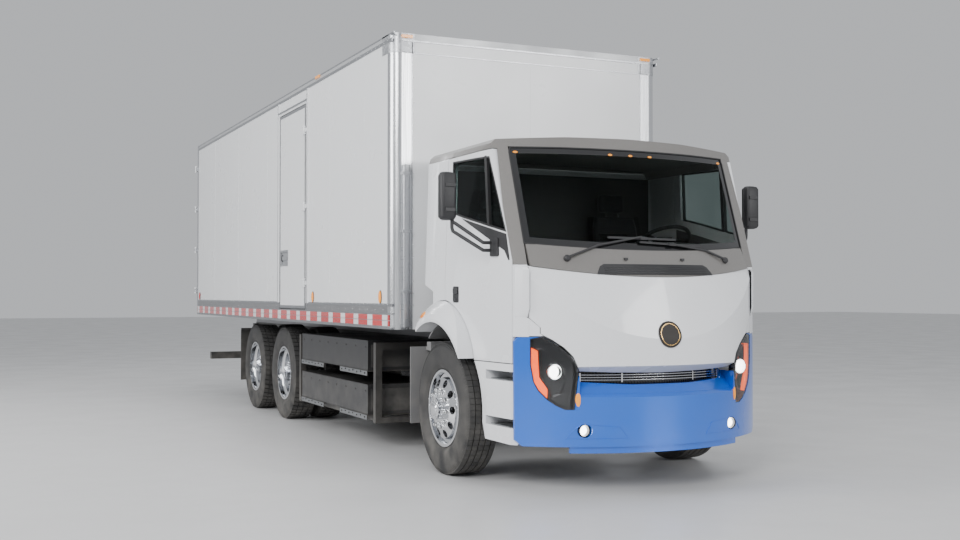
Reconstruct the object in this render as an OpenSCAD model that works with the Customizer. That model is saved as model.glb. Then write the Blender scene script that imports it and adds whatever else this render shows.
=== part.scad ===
// Electric low-cab-forward box truck with a driven tandem.
// Millimetres. The front faces -Y, the driver's side is +X, the road is z = 0.
// The origin lies on the road below the middle of the whole length and width.
// "Aft" is a distance behind the front axle.

/* [Layout] */
// Bumper nose to front axle
front_overhang = 1420; // [1380:10:1480]
// Front axle to the front wall of the box
box_setback = 717; // [700:1:850]
// Front axle to the first driven axle
wheelbase = 4486; // [4300:2:5200]
// First driven axle to the second
axle_spacing = 1325; // [1250:5:1600]
// Distance between the centres of the front tyres
front_track = 2040; // [2000:10:2100]
// Distance between the centres of the twin wheels
rear_track = 1796; // [1760:4:1840]

/* [Box] */
// Length of the box without its rear doors
box_length = 8205; // [6500:5:9850]
// Width of the box
box_width = 2590; // [2440:10:2600]
// Height of the box's roof above the road
box_top = 3566; // [3000:2:4000]
// Height of the lower edge of the box above the road
box_bottom = 1098; // [1090:2:1200]
// Height of the lower side rails
side_rail_height = 202; // [160:2:240]
// Thickness of the side and front walls
wall_thickness = 30; // [20:1:45]
// Width of the side door
side_door_width = 1003; // [700:1:1100]
// Box front to the hinged edge of the side door
side_door_setback = 2554; // [1500:2:4000]
// Height of the side door
side_door_height = 2111; // [1700:1:2140]

/* [Cab] */
// Half width of the cab at the belt line
cab_half_width = 1100; // [1080:5:1140]
// Half width of the cab at its front corners
cab_front_half_width = 1030; // [1020:2:1040]
// Front axle to the rear wall of the cab
cab_rear = 465; // [440:5:500]
// Height of the cab's floor above the road
cab_floor = 1050; // [1040:2:1080]
// Height of the lower edge of the roof
roof_edge_height = 2450; // [2440:2:2600]
// Thickness of the cab's walls, doors and roof
cab_skin = 45; // [36:1:55]
// Bend radius of the nose seen from above
nose_radius = 1500; // [1450:10:1800]
// Bend radius of the windshield
windshield_radius = 3190; // [3000:10:3600]
// Lean of the windshield, in degrees
windshield_lean = 19.7; // [18:0.1:21]
// Lower edge of the bumper above the road
bumper_bottom = 333; // [300:1:360]

/* [Wheels] */
// Outer radius of every tyre
tyre_radius = 510; // [490:1:520]
// Width of every tyre
tyre_width = 280; // [250:2:290]
// Radius of the bead seat
rim_radius = 286; // [280:1:292]
// Width between the rim's outer faces
rim_width = 236; // [220:2:240]
// Distance between the tyres of a twin wheel
twin_spacing = 336; // [320:1:350]
// Hand holes in a wheel disc
hand_holes = 10; // [8:1:12]

/* [Chassis] */
// Width over the frame rails
frame_width = 860; // [800:5:880]
// Height of a frame rail
rail_height = 270; // [220:5:280]
// Height of the top of the frame above the road
frame_top = 980; // [960:5:1000]
// Thickness of a frame rail's web and flanges
rail_gauge = 10; // [8:1:14]
// Length of a battery pack along the truck
battery_length = 2110; // [1800:10:2300]
// Front axle to the front of the battery packs
battery_setback = 1615; // [1500:5:1800]

/* [Clearances] */
// Gap round a door leaf
door_gap = 7; // [6:0.5:10]
// Gap round fixed glass and panels
panel_gap = 3; // [2:0.5:5]
// Radial gap between a shaft and its bore
shaft_gap = 0.5; // [0.3:0.1:1]

/* [Hidden] */
$fn = 96;

rear_door_gap = 5;
rear_door_thickness = 30;
lock_rod_proud = 33;
rear_proud = rear_door_gap + rear_door_thickness + lock_rod_proud;
overall_length = front_overhang + box_setback + box_length + rear_proud;
front_axle_y = front_overhang - overall_length / 2;
box_front = box_setback;
box_rear = box_setback + box_length;
half_box = box_width / 2;
axle_aft = [wheelbase, wheelbase + axle_spacing];
hub_height = tyre_radius;
far = 4000;
// Steps round the cab's widest bends
bend_steps = 720;

// ---- helpers ----

module from_front_axle() {
    translate([0, front_axle_y, 0]) children();
}

// The same thing on the driver's side, and mirrored on the other
module both_sides() {
    children();
    mirror([1, 0, 0]) children();
}

// A block given by its low and high corners
module block(low, high) {
    translate(low) cube(high - low);
}

// A shaft along X between two places
module shaft_x(radius, x_low, x_high, aft, height) {
    translate([x_low, aft, height]) rotate([0, 90, 0]) cylinder(r = radius, h = x_high - x_low);
}

// A shaft along Y
module shaft_y(radius, x, aft_low, aft_high, height) {
    translate([x, aft_low, height]) rotate([-90, 0, 0])
        cylinder(r = radius, h = aft_high - aft_low, $fn = radius > arch_radius ? bend_steps : 96);
}

// An upright shaft
module shaft_z(radius, x, aft, low, high) {
    translate([x, aft, low]) cylinder(r = radius, h = high - low);
}

// An outline drawn as [aft, height], extruded across the truck
module side_prism(outline, x_low, x_high) {
    translate([x_low, 0, 0]) rotate([90, 0, 90]) linear_extrude(height = x_high - x_low) polygon(outline);
}

// An outline drawn as [x, height], extruded along the truck
module front_prism(outline, aft_low, aft_high) {
    translate([0, aft_high, 0]) rotate([90, 0, 0]) linear_extrude(height = aft_high - aft_low) polygon(outline);
}

// The mirror image of half an outline, joined to it
function whole_outline(half) = concat(half, [for (i = [len(half) - 1:-1:0]) [-half[i][0], half[i][1]]]);

// ---- wheels ----

tyre_profile = [[rim_radius, rim_width / 2 - 12], [rim_radius + 14, rim_width / 2 - 9],
    [rim_radius + 50, tyre_width / 2 - 6], [rim_radius + 100, tyre_width / 2],
    [rim_radius + 150, tyre_width / 2 - 3], [tyre_radius - 30, tyre_width / 2 - 10],
    [tyre_radius - 12, tyre_width / 2 - 20], [tyre_radius - 3, tyre_width / 2 - 36],
    [tyre_radius, tyre_width / 2 - 56]];
tyre_section = concat(tyre_profile,
    [for (i = [len(tyre_profile) - 1:-1:0]) [tyre_profile[i][0], -tyre_profile[i][1]]]);
rim_wall = 9;
rim_well_radius = rim_radius - 32;
rim_lip = 12;
seat_gap = 0.4;
disc_thickness = 22;
disc_offset = 140;
hand_hole_radius = 30;
hand_hole_circle = 200;
hub_radius = 118;
spindle_radius = 45;
hub_bore = spindle_radius + shaft_gap;

module tyre(x) {
    translate([x, 0, hub_height]) rotate([0, 90, 0]) rotate_extrude() polygon(tyre_section);
}

// The rim's barrel, with its open lips
module rim(x) {
    half = rim_width / 2;
    seat = rim_radius - seat_gap;
    translate([x, 0, hub_height]) rotate([0, 90, 0]) rotate_extrude()
        polygon([[seat - rim_wall, -half], [seat + rim_lip, -half], [seat + rim_lip, -half + 8],
            [seat, -half + 10], [seat, -half + 46], [rim_well_radius, -half + 66],
            [rim_well_radius, half - 66], [seat, half - 46], [seat, half - 10], [seat + rim_lip, half - 8],
            [seat + rim_lip, half], [seat - rim_wall, half], [seat - rim_wall, half - 50],
            [rim_well_radius - rim_wall, half - 70], [rim_well_radius - rim_wall, -half + 70],
            [seat - rim_wall, -half + 50]]);
}

// A disc whose flat centre stands at `face`, coned back to the rim at `root`
module wheel_disc(face, root) {
    outward = face > root ? 1 : -1;
    translate([0, 0, hub_height]) rotate([0, 90, 0]) difference() {
        rotate_extrude()
            polygon([[hub_radius - 2, face], [168, face], [232, face - outward * 24],
                [rim_well_radius - 3, root], [rim_well_radius - 3, root - outward * disc_thickness],
                [228, face - outward * (24 + disc_thickness)], [164, face - outward * disc_thickness],
                [hub_radius - 2, face - outward * disc_thickness]]);
        for (i = [0:hand_holes - 1])
            rotate([0, 0, (i + 0.5) * 360 / hand_holes]) translate([hand_hole_circle, 0, face - 90])
                cylinder(r = hand_hole_radius, h = 180, $fn = 32);
    }
}

// A hub with the bearing bore that turns on a spindle
module hub(x_low, x_high, bore_end) {
    difference() {
        shaft_x(hub_radius, x_low, x_high, 0, hub_height);
        shaft_x(hub_bore, x_low - 1, bore_end, 0, hub_height);
    }
}

front_tyre_x = front_track / 2;
front_disc_face = front_tyre_x + disc_offset;
front_hub_inner = front_tyre_x - 20;
spindle_end = front_disc_face - 10;

module front_wheel() {
    rim(front_tyre_x);
    wheel_disc(front_disc_face, front_tyre_x + rim_width / 2 - 62);
    hub(front_hub_inner, front_disc_face - 1, spindle_end + 5);
    shaft_x(84, front_disc_face - 2, front_disc_face + 52, 0, hub_height);
}

twin_x = rear_track / 2;
outer_twin_x = twin_x + twin_spacing / 2;
inner_twin_x = twin_x - twin_spacing / 2;
twin_joint = 0.5;
twin_hub_inner = twin_x - 60;
axle_end = twin_x + 140;

module twin_tyres() {
    tyre(outer_twin_x);
    tyre(inner_twin_x);
}

module twin_wheels() {
    rim(outer_twin_x);
    wheel_disc(twin_x + disc_thickness, outer_twin_x - rim_width / 2 + 40 + 22);
    rim(inner_twin_x);
    wheel_disc(twin_x - twin_joint - disc_thickness, inner_twin_x + rim_width / 2 - 40 - 22);
    hub(twin_hub_inner, twin_x + 70, twin_x + 200);
    difference() {
        shaft_x(88, twin_x + 60, axle_end + 30, 0, hub_height);
        shaft_x(hub_bore, twin_x + 40, axle_end + 6, 0, hub_height);
    }
}

// ---- chassis ----

rail_x = frame_width / 2;
rail_bottom = frame_top - rail_height;
rail_flange = 80;
rail_front = -760;
rail_rear = box_rear - 60;
crossmember_aft = [-620, 760, 1500, 3900, wheelbase - 520, wheelbase + axle_spacing / 2,
    wheelbase + axle_spacing + 560, rail_rear - 60];
member_end = rail_x - rail_gauge - 0.5;
tow_bore = 18;
tow_plate = 30;
tow_aft = rail_rear + 60;
tow_height = rail_bottom + 60;

module frame_rail() {
    difference() {
        block([rail_x - rail_flange, rail_front, rail_bottom], [rail_x, rail_rear, frame_top]);
        block([rail_x - rail_flange - 1, rail_front - 1, rail_bottom + rail_gauge],
            [rail_x - rail_gauge, rail_rear + 1, frame_top - rail_gauge]);
    }
}

module tow_lug() {
    difference() {
        union() {
            shaft_x(50, rail_x - tow_plate, rail_x, tow_aft, tow_height);
            block([rail_x - tow_plate, rail_rear - 120, tow_height - 50], [rail_x, tow_aft, tow_height + 50]);
        }
        shaft_x(tow_bore, rail_x - tow_plate - 1, rail_x + 1, tow_aft, tow_height);
    }
}

module chassis_frame() {
    color("dimgray") from_front_axle() {
        both_sides() {
            frame_rail();
            tow_lug();
        }
        for (aft = crossmember_aft)
            difference() {
                block([-member_end, aft - 45, rail_bottom + 30], [member_end, aft + 45, frame_top - 25]);
                block([-rail_x + 40, aft - 35, rail_bottom + 20], [rail_x - 40, aft + 46, frame_top - 35]);
            }
    }
}

// ---- front axle and steering ----

kingpin_x = front_tyre_x - 150;
kingpin_radius = 24;
kingpin_bore = kingpin_radius + shaft_gap;
boss_radius = 46;
boss_half = 62;
ear_gap = 3;
ear_height = 34;
beam_half_height = 46;
beam_half_width = 44;
steering_arm = 190;
tie_rod_x = kingpin_x;
tie_rod_height = hub_height - 120;
tie_pin_radius = 12;

module front_axle() {
    color("dimgray") from_front_axle() {
        difference() {
            union() {
                block([-kingpin_x, -beam_half_width, hub_height - beam_half_height],
                    [kingpin_x, beam_half_width, hub_height + beam_half_height]);
                both_sides() shaft_z(boss_radius, kingpin_x, 0, hub_height - boss_half, hub_height + boss_half);
            }
            both_sides() {
                shaft_z(kingpin_bore, kingpin_x, 0, hub_height - boss_half - 1, hub_height + boss_half + 1);
                block([60, -beam_half_width - 1, hub_height - 30], [kingpin_x - 90, -14, hub_height + 30]);
                block([60, 14, hub_height - 30], [kingpin_x - 90, beam_half_width + 1, hub_height + 30]);
            }
        }
    }
}

// A knuckle: its kingpin, two ears round the axle's boss, spindle and steering arm
module knuckle() {
    ear_low = hub_height - boss_half - ear_gap - ear_height;
    ear_high = hub_height + boss_half + ear_gap;
    plate_x = kingpin_x + boss_radius + 6;
    shaft_z(kingpin_radius, kingpin_x, 0, ear_low, ear_high + ear_height);
    for (low = [ear_low, ear_high]) {
        shaft_z(boss_radius, kingpin_x, 0, low, low + ear_height);
        block([kingpin_x, -boss_radius, low], [plate_x + 6, boss_radius, low + ear_height]);
    }
    block([plate_x, -boss_radius, ear_low], [plate_x + 22, boss_radius, ear_high + ear_height]);
    shaft_x(spindle_radius, plate_x + 10, spindle_end, 0, hub_height);
    arm_top = tie_rod_height + 20;
    block([kingpin_x - 20, 0, ear_low], [kingpin_x + 20, 60, ear_low + 30]);
    difference() {
        side_prism([[30, ear_low], [70, ear_low], [steering_arm + 24, tie_rod_height - 8],
            [steering_arm + 24, arm_top], [steering_arm - 30, arm_top], [30, ear_low + 30]],
            kingpin_x - 22, kingpin_x + 22);
        shaft_z(tie_pin_radius + shaft_gap, tie_rod_x, steering_arm, tie_rod_height - 60, arm_top + 20);
    }
}

module knuckle_left() {
    color("dimgray") from_front_axle() knuckle();
}

module knuckle_right() {
    color("dimgray") from_front_axle() mirror([1, 0, 0]) knuckle();
}

module tie_rod() {
    rod_height = tie_rod_height - 44;
    color("slategray") from_front_axle() {
        shaft_x(19, -tie_rod_x, tie_rod_x, steering_arm, rod_height);
        both_sides() {
            shaft_z(24, tie_rod_x, steering_arm, rod_height - 26, rod_height + 28);
            shaft_z(tie_pin_radius, tie_rod_x, steering_arm, rod_height, tie_rod_height + 16);
        }
    }
}

// ---- suspension ----

spring_x = rail_x - 40;
spring_half_width = 38;
spring_reach = 690;
leaf_count = 3;
leaf_thickness = 18;
front_seat = hub_height + beam_half_height;
air_spring_radius = 130;

// Stacked leaves under a rail, and their hangers
module front_spring() {
    for (i = [0:leaf_count - 1])
        block([spring_x - spring_half_width, -spring_reach + 150 * i, front_seat + leaf_thickness * i],
            [spring_x + spring_half_width, spring_reach - 150 * i, front_seat + leaf_thickness * (i + 1)]);
    for (aft = [-spring_reach, spring_reach])
        block([spring_x - 20, aft - 30, front_seat + leaf_thickness - 1],
            [spring_x + 20, aft + 30, rail_bottom]);
}

// Trailing arm and air spring over one driven axle
module air_suspension(aft) {
    side_prism([[aft - 560, hub_height - 20], [aft - 500, hub_height - 70], [aft - 60, hub_height - 120],
        [aft + 330, hub_height - 95], [aft + 330, hub_height - 60], [aft - 60, hub_height - 72],
        [aft - 480, hub_height - 20]], spring_x - 35, spring_x + 35);
    block([spring_x - 40, aft - 570, hub_height - 25], [spring_x + 40, aft - 470, rail_bottom]);
    shaft_z(air_spring_radius - 30, spring_x, aft + 240, hub_height - 78, hub_height - 20);
    shaft_z(air_spring_radius, spring_x, aft + 240, hub_height - 20, rail_bottom);
}

module suspension() {
    color("dimgray") from_front_axle() both_sides() {
        front_spring();
        for (aft = axle_aft) air_suspension(aft);
    }
}

// ---- driveline ----

axle_tube_radius = 68;
carrier_radius = 190;
carrier_nose = 260;
propeller_radius = 45;

module drive_axle(aft) {
    both_sides() {
        shaft_x(axle_tube_radius, 0, twin_hub_inner - 8, aft, hub_height);
        shaft_x(spindle_radius, 0, axle_end, aft, hub_height);
        shaft_x(200, twin_hub_inner - 90, twin_hub_inner - 30, aft, hub_height);
    }
    shaft_x(carrier_radius, -120, 120, aft, hub_height);
    shaft_y(110, 0, aft - carrier_nose, aft, hub_height + 30);
}

module drive_axles() {
    color("dimgray") from_front_axle() {
        for (aft = axle_aft) drive_axle(aft);
        shaft_y(propeller_radius, 0, axle_aft[0] + carrier_radius + 1, axle_aft[1] - carrier_nose - 1,
            hub_height + 30);
        shaft_y(propeller_radius, 0, motor_rear + 1, axle_aft[0] - carrier_nose - 1, hub_height + 30);
    }
}

motor_front = 2620;
motor_length = 720;
motor_rear = motor_front + motor_length;
motor_radius = 230;

module drive_motor() {
    color("silver") from_front_axle() shaft_y(motor_radius, 0, motor_front, motor_rear, hub_height + 130);
}

// ---- batteries ----

battery_outer = 1190;
battery_inner = rail_x + 50;
battery_gap = 125;
battery_top = 975;
battery_bottom = 308;
pack_height = (battery_top - battery_bottom - battery_gap) / 2;
rack_post = 60;
rack_plate = 9;
plate_length = 790;
plate_outer = battery_outer + 8;

module battery_packs() {
    color("black") from_front_axle() both_sides()
        for (low = [battery_bottom, battery_bottom + pack_height + battery_gap])
            block([battery_inner, battery_setback, low],
                [battery_outer, battery_setback + battery_length, low + pack_height]);
}

// One upright frame of the rack, hung from the rail
module rack_frame(aft) {
    top = battery_top - 15;
    low = battery_bottom - rack_plate - 1;
    block([rail_x + 1, aft, top - 60], [battery_outer - 10, aft + rack_post, top]);
    block([rail_x + 1, aft, low - 50], [battery_outer - 10, aft + rack_post, low]);
    block([battery_outer - 70, aft, low - 1], [battery_outer - 10, aft + rack_post, top - 59]);
    block([rail_x + 1, aft, low - 1], [rail_x + 41, aft + rack_post, top - 59]);
}

module battery_racks() {
    low = battery_bottom - rack_plate - 1;
    rear = battery_setback + battery_length;
    color("dimgray") from_front_axle() both_sides() {
        rack_frame(battery_setback - rack_post - 120);
        rack_frame(rear + 90);
        for (x = [battery_inner + 30, battery_outer - 130])
            block([x, battery_setback - 180, low - 50], [x + 60, rear + 150, low]);
        for (aft = [battery_setback, rear - plate_length])
            for (pack_low = [battery_bottom, battery_bottom + pack_height + battery_gap]) {
                block([battery_inner + 20, aft, pack_low - rack_plate - 1],
                    [plate_outer, aft + plate_length, pack_low - 1]);
                block([battery_outer + 1, aft, pack_low - 46], [plate_outer, aft + plate_length, pack_low - 2]);
            }
    }
}

// ---- cab surfaces ----

nose_height = 890;
nose_aft = -front_overhang;
windshield_aft = -900;
windshield_height = 2420;
cowl_radius = 3070;
cowl_lean = 30;
cowl_skin = 22;
cowl_low = 1510;
cowl_aft = -1295;
hood_radius = 2300;
hood_lean = 16;
belt_height = 1470;
tumblehome = 30;
taper_start = -100;
cab_front_corner = -1000;

// An upright barrel that leans back, tangent to the nose line at a height
module leaning_barrel(aft, height, lean, bend, inset = 0) {
    translate([0, aft, height]) rotate([-lean, 0, 0]) translate([0, bend, -far / 2])
        cylinder(r = bend - inset, h = far, $fn = bend_steps);
}

module nose_barrel(inset = 0) {
    leaning_barrel(nose_aft, nose_height, 0, nose_radius, inset);
}

module hood_barrel(inset = 0) {
    leaning_barrel(cowl_aft, cowl_low, hood_lean, hood_radius, inset);
}

module cowl_barrel(inset = 0) {
    leaning_barrel(cowl_aft, cowl_low, cowl_lean, cowl_radius, inset);
}

module windshield_barrel(inset = 0) {
    leaning_barrel(windshield_aft, windshield_height, windshield_lean, windshield_radius, inset);
}

// The cab's cross-section: upright to the belt, then leaning in to the roof
module cab_section(inset = 0) {
    shoulder = roof_edge_height - 10;
    edge = cab_half_width - tumblehome - inset;
    half = [[cab_half_width - inset, 200], [cab_half_width - inset, belt_height], [edge, shoulder],
        [edge - 14, shoulder + 48 - inset / 2], [edge - 52, shoulder + 80 - inset],
        [500, shoulder + 106 - inset], [0, shoulder + 112 - inset]];
    front_prism(whole_outline(half), -1600, 1200);
}

// The cab seen from above: parallel at the back, narrower towards the front corners
module cab_plan(inset = 0) {
    half = [[cab_half_width - inset, cab_rear - inset], [cab_half_width - inset, taper_start],
        [cab_front_half_width - inset, cab_front_corner], [cab_front_half_width - 30 - inset, -1600]];
    linear_extrude(height = far) polygon(whole_outline(half));
}

module cab_sides(inset = 0) {
    intersection() {
        cab_section(inset);
        cab_plan(inset);
    }
}

// A curved panel between two depths below the cab's side
module side_skin(outer, inner, outline) {
    intersection() {
        difference() {
            cab_sides(outer);
            cab_sides(inner);
        }
        side_prism(outline, 0, far / 2);
    }
}

// ---- wheel arch and fender ----

arch_aft = 100;
arch_radius = 665;
fender_height = 800;
fender_radius = 540;
fender_rear = 430;
fender_reach = 1200;
fender_low = 905;

// A disc across one side of the cab
module side_disc(radius, aft, height, x_low) {
    shaft_x(radius, x_low, 1500, aft, height);
}

// The flare: a ring swept round the arch, trimmed by the fender's own outline
module fender() {
    inner = cab_half_width - cab_skin;
    intersection() {
        translate([0, arch_aft, hub_height]) rotate([0, 90, 0]) rotate_extrude()
            polygon([[arch_radius, inner], [arch_radius, fender_reach], [arch_radius + 22, fender_reach],
                [arch_radius + 62, fender_reach - 14], [arch_radius + 110, fender_reach - 48],
                [arch_radius + 162, cab_half_width + 8], [arch_radius + 162, inner]]);
        side_disc(fender_radius, arch_aft, fender_height, 900);
        block([900, -700, fender_low], [1400, fender_rear, 1500]);
    }
}

module fenders() {
    color("white") from_front_axle() both_sides() fender();
}

// ---- cab shell ----

door_front = -985;
door_rear = 50;
door_low = 905;
pillar_foot = 1625;
pillar_head = -705;
rear_step_height = 1411;
rear_step = 298;

function door_outline(grow) = [[door_front - grow, door_low - grow], [door_rear + grow, door_low - grow],
    [door_rear + grow, roof_edge_height - 6 + grow], [pillar_head - grow, roof_edge_height - 6 + grow],
    [door_front - grow, pillar_foot]];

// Everything ahead of the doors' front edges and above the hood
module pillar_region() {
    top = roof_edge_height;
    side_prism([[-1600, 1600], [door_front - door_gap, 1600], [door_front - door_gap, pillar_foot],
        [pillar_head - door_gap, top], [cab_rear + 10, top], [cab_rear + 10, top + 300], [-1600, top + 300]],
        -1300, 1300);
}

module firewall() {
    intersection() {
        block([-1200, -985, cab_floor - 2], [1200, -945, 1560]);
        cab_sides(cab_skin + door_gap);
    }
}

// The hump over a front wheel, before the wheel's own space is cut out of it
module wheel_house() {
    intersection() {
        side_disc(arch_radius + 34, arch_aft, hub_height, liner_inner - 15);
        block([0, -600, cab_floor - 10], [1300, rear_step, 1300]);
        cab_sides(cab_skin + door_gap);
    }
}

module cab_shell() {
    floor_low = cab_floor - 30;
    shell_front = door_rear + door_gap;
    shell_top = roof_edge_height - panel_gap;
    color("white") from_front_axle() difference() {
        union() {
            difference() {
                intersection() {
                    cab_sides();
                    side_prism([[shell_front, floor_low], [rear_step, floor_low], [rear_step, rear_step_height],
                        [cab_rear, rear_step_height + 56], [cab_rear, shell_top], [shell_front, shell_top]],
                        -1300, 1300);
                }
                intersection() {
                    cab_sides(cab_skin);
                    side_prism([[-500, cab_floor], [rear_step - cab_skin, cab_floor],
                        [rear_step - cab_skin, rear_step_height + 30],
                        [cab_rear - cab_skin, rear_step_height + 86],
                        [cab_rear - cab_skin, 2800], [-500, 2800]], -1300, 1300);
                }
            }
            intersection() {
                block([-cab_half_width, -985, floor_low], [cab_half_width, door_rear + 60, cab_floor]);
                cab_sides(cab_skin + door_gap);
            }
            firewall();
            both_sides() wheel_house();
            both_sides() intersection() {
                difference() {
                    intersection() {
                        nose_barrel();
                        hood_barrel();
                    }
                    nose_barrel(30);
                }
                cab_sides();
                block([948, -1300, bumper_top + panel_gap], [1100, door_front - door_gap, 1600 - panel_gap]);
            }
            both_sides() intersection() {
                cab_sides(1);
                block([930, -1040, 1100], [1100, door_front - door_gap, 1500]);
                nose_barrel(2);
            }
        }
        both_sides() {
            side_disc(arch_radius + 20, arch_aft, hub_height, liner_inner);
            side_disc(fender_radius + panel_gap, arch_aft, fender_height, cab_half_width - cab_skin - 6);
        }
    }
}

module cab_roof() {
    color("tan") from_front_axle() intersection() {
        difference() {
            intersection() {
                cab_sides();
                windshield_barrel();
            }
            intersection() {
                cab_sides(cab_skin);
                windshield_barrel(cab_skin);
                block([-1300, -1600, 0], [1300, cab_rear - cab_skin, far]);
            }
            block([-glass_half - panel_gap, -1600, 1500],
                [glass_half + panel_gap, -400, glass_top + panel_gap]);
        }
        pillar_region();
    }
}

// ---- glass ----

glass_half = 938;
glass_top = 2462;
glass_thickness = 8;
glass_recess = 6;
glass_low_bend = 10000;
glass_low = 1705;

module windshield() {
    color("slategray") from_front_axle() intersection() {
        difference() {
            windshield_barrel(glass_recess);
            windshield_barrel(glass_recess + glass_thickness);
        }
        difference() {
            block([-glass_half, -1600, 1650], [glass_half, -400, glass_top]);
            glass_foot(panel_gap);
        }
    }
}

// Height of the shallow arc along the foot of the windshield
function foot_height(x) = glass_low + glass_low_bend - sqrt(glass_low_bend * glass_low_bend - x * x);

// Everything below that arc
module glass_foot(raise = 0) {
    edge = [for (x = [1100:-100:0]) [x, foot_height(x) + raise]];
    front_prism(whole_outline(concat([[0, 1400], [1100, 1400]], edge)), -1600, -300);
}

// The window's outline shrunk by a gap
function window_outline(gap) = [[-40 - gap, 2412 - gap], [-664 + gap, 2392 - gap],
    [-902 + 1.6 * gap, 1836 + 1.3 * gap], [-42 - gap, 2018 + gap]];

// The bar between a door's fixed quarter light and its sliding pane
function division_bar(grow) = [[-590 + grow, 2400 + grow], [-622 - grow, 2400 + grow],
    [-664 - grow, 1880 - grow], [-632 + grow, 1880 - grow]];

module door_glass() {
    difference() {
        side_skin(20, 26, window_outline(panel_gap));
        side_prism(division_bar(1), 900, 1200);
    }
}

module door_glass_left() {
    color("slategray") from_front_axle() door_glass();
}

module door_glass_right() {
    color("slategray") from_front_axle() mirror([1, 0, 0]) door_glass();
}

// ---- cowl, front panel, grille, bumper ----

hood_top_bend = 5760;
hood_top = 1510;
panel_skin = 25;
bumper_skin = 30;
bumper_top = 1090;
cowl_half = 930;
hood_half = 945;
slot_low = 755;
grille_half = 585;
hood_lip = 842;
turn_under_lean = -65;
shelf_lean = 50;
shelf_foot = 675;

// Everything above the arc along the top of the hood
module above_hood(raise = 0) {
    shaft_y(hood_top_bend, 0, -1700, -300, hood_top + raise + hood_top_bend);
}

module cowl() {
    color("tan") from_front_axle() intersection() {
        difference() {
            cowl_barrel();
            cowl_barrel(cowl_skin);
        }
        above_hood(panel_gap);
        block([-cowl_half, -1600, 1400], [cowl_half, -600, 1800]);
        glass_foot();
    }
}

hood_outline = [[0, 1700], [hood_half, 1700], [hood_half, 1225], [880, 1156], [880, 1114], [811, 1073],
    [740, 1018], [686, 956], [661, 894], [649, hood_lip + 12], [386, hood_lip], [0, hood_lip - 8]];

// The white panel between the windshield's cowl and the bumper
module front_panel() {
    color("white") from_front_axle() difference() {
        intersection() {
            nose_barrel();
            hood_barrel();
            leaning_barrel(nose_aft, nose_height, turn_under_lean, 3550);
            front_prism(whole_outline(hood_outline), -1600, -700);
        }
        intersection() {
            nose_barrel(panel_skin);
            hood_barrel(panel_skin);
            leaning_barrel(nose_aft, nose_height, turn_under_lean, 3550, panel_skin);
        }
        above_hood(0);
    }
}

module grille() {
    color("black") from_front_axle() intersection() {
        difference() {
            nose_barrel(185);
            nose_barrel(205);
        }
        block([-grille_half, -1400, slot_low - 60], [grille_half, -900, hood_lip + 60]);
    }
}

lamp_outline = [[942, 1079], [880, 1093], [817, 1059], [752, 1011], [704, 963], [667, 901], [655, 832],
    [668, 714], [680, 590], [741, 590], [794, 617], [846, 657], [898, 719], [925, 780], [942, 898]];
lamp_depth = 110;
lamp_back = door_front - 19;
fog_x = 618;
fog_height = 446;
fog_radius = 44;

bumper_outline = [[0, bumper_bottom], [985, bumper_bottom], [1024, bumper_bottom + 40], [1028, bumper_top - 30],
    [1005, bumper_top], [880, bumper_top + 4], [800, 1000], [660, 800], [640, 848], [590, slot_low + 18],
    [243, slot_low], [0, slot_low]];

module lamp_prism(grow) {
    scale_x = (805 + grow * 0.9) / 805;
    both_sides() translate([805, 0, 840]) scale(scale_x) translate([-805, 0, -840])
        front_prism(lamp_outline, -1600, lamp_back);
}

module bumper() {
    color("royalblue") from_front_axle() {
        difference() {
            intersection() {
                nose_barrel();
                front_prism(whole_outline(bumper_outline), -1600, door_front - door_gap);
                union() {
                    leaning_barrel(nose_aft, shelf_foot, shelf_lean, nose_radius / cos(shelf_lean));
                    block([-1200, -1600, 200], [-650, -900, 1200]);
                    block([650, -1600, 200], [1200, -900, 1200]);
                }
            }
            intersection() {
                nose_barrel(bumper_skin);
                union() {
                    leaning_barrel(nose_aft, shelf_foot, shelf_lean, nose_radius / cos(shelf_lean), bumper_skin);
                    block([-1200, -1600, 200], [-662, -900, 1200]);
                    block([662, -1600, 200], [1200, -900, 1200]);
                }
            }
            lamp_prism(4);
            both_sides() shaft_y(fog_radius + 4, fog_x, -1600, -1000, fog_height);
        }
        intersection() {
            difference() {
                nose_barrel(18);
                nose_barrel(36);
            }
            block([-700, -1600, bumper_bottom - 45], [700, -1000, bumper_bottom + 10]);
        }
    }
}

module headlights() {
    color("black") from_front_axle() {
        intersection() {
            difference() {
                nose_barrel(6);
                nose_barrel(lamp_depth);
            }
            lamp_prism(0);
        }
        both_sides() intersection() {
            nose_barrel(5);
            shaft_y(fog_radius, fog_x, -1600, -1210, fog_height);
        }
    }
}

// ---- steps ----

step_skin = 36;
step_front = -1006;
step_well_depth = 170;
step_wells = [[-985, 778, 66], [-985, 450, 62]];
step_well_rear = -612;

step_top = fender_low - panel_gap - 4;
step_outline = [[step_front, bumper_bottom], [-604, bumper_bottom + 8], [-560, 470], [-560, 520],
    [-430, step_top], [step_front, step_top]];

module step_well(well) {
    block([cab_front_half_width - step_well_depth, well[0], well[1]],
        [1200, step_well_rear, well[1] + well[2]]);
}

module step_case(well) {
    wall = 14;
    intersection() {
        block([cab_front_half_width - step_well_depth - wall, well[0] - wall, well[1] - wall],
            [1200, step_well_rear + wall, well[1] + well[2] + wall]);
        cab_sides(step_skin - 1);
    }
}

module step_panels() {
    color("white") from_front_axle() both_sides() difference() {
        union() {
            side_skin(0, step_skin, step_outline);
            for (well = step_wells) step_case(well);
        }
        for (well = step_wells) step_well(well);
        side_disc(arch_radius, arch_aft, hub_height, 700);
        nose_cut();
    }
}

// What lies ahead of the nose surface
module nose_cut() {
    difference() {
        block([700, -1600, 200], [1300, -900, 1200]);
        nose_barrel(bumper_skin + 2);
    }
}

// ---- liners and flaps ----

liner_inner = 760;
flap_aft = 600;
flap_low = 335;

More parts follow.
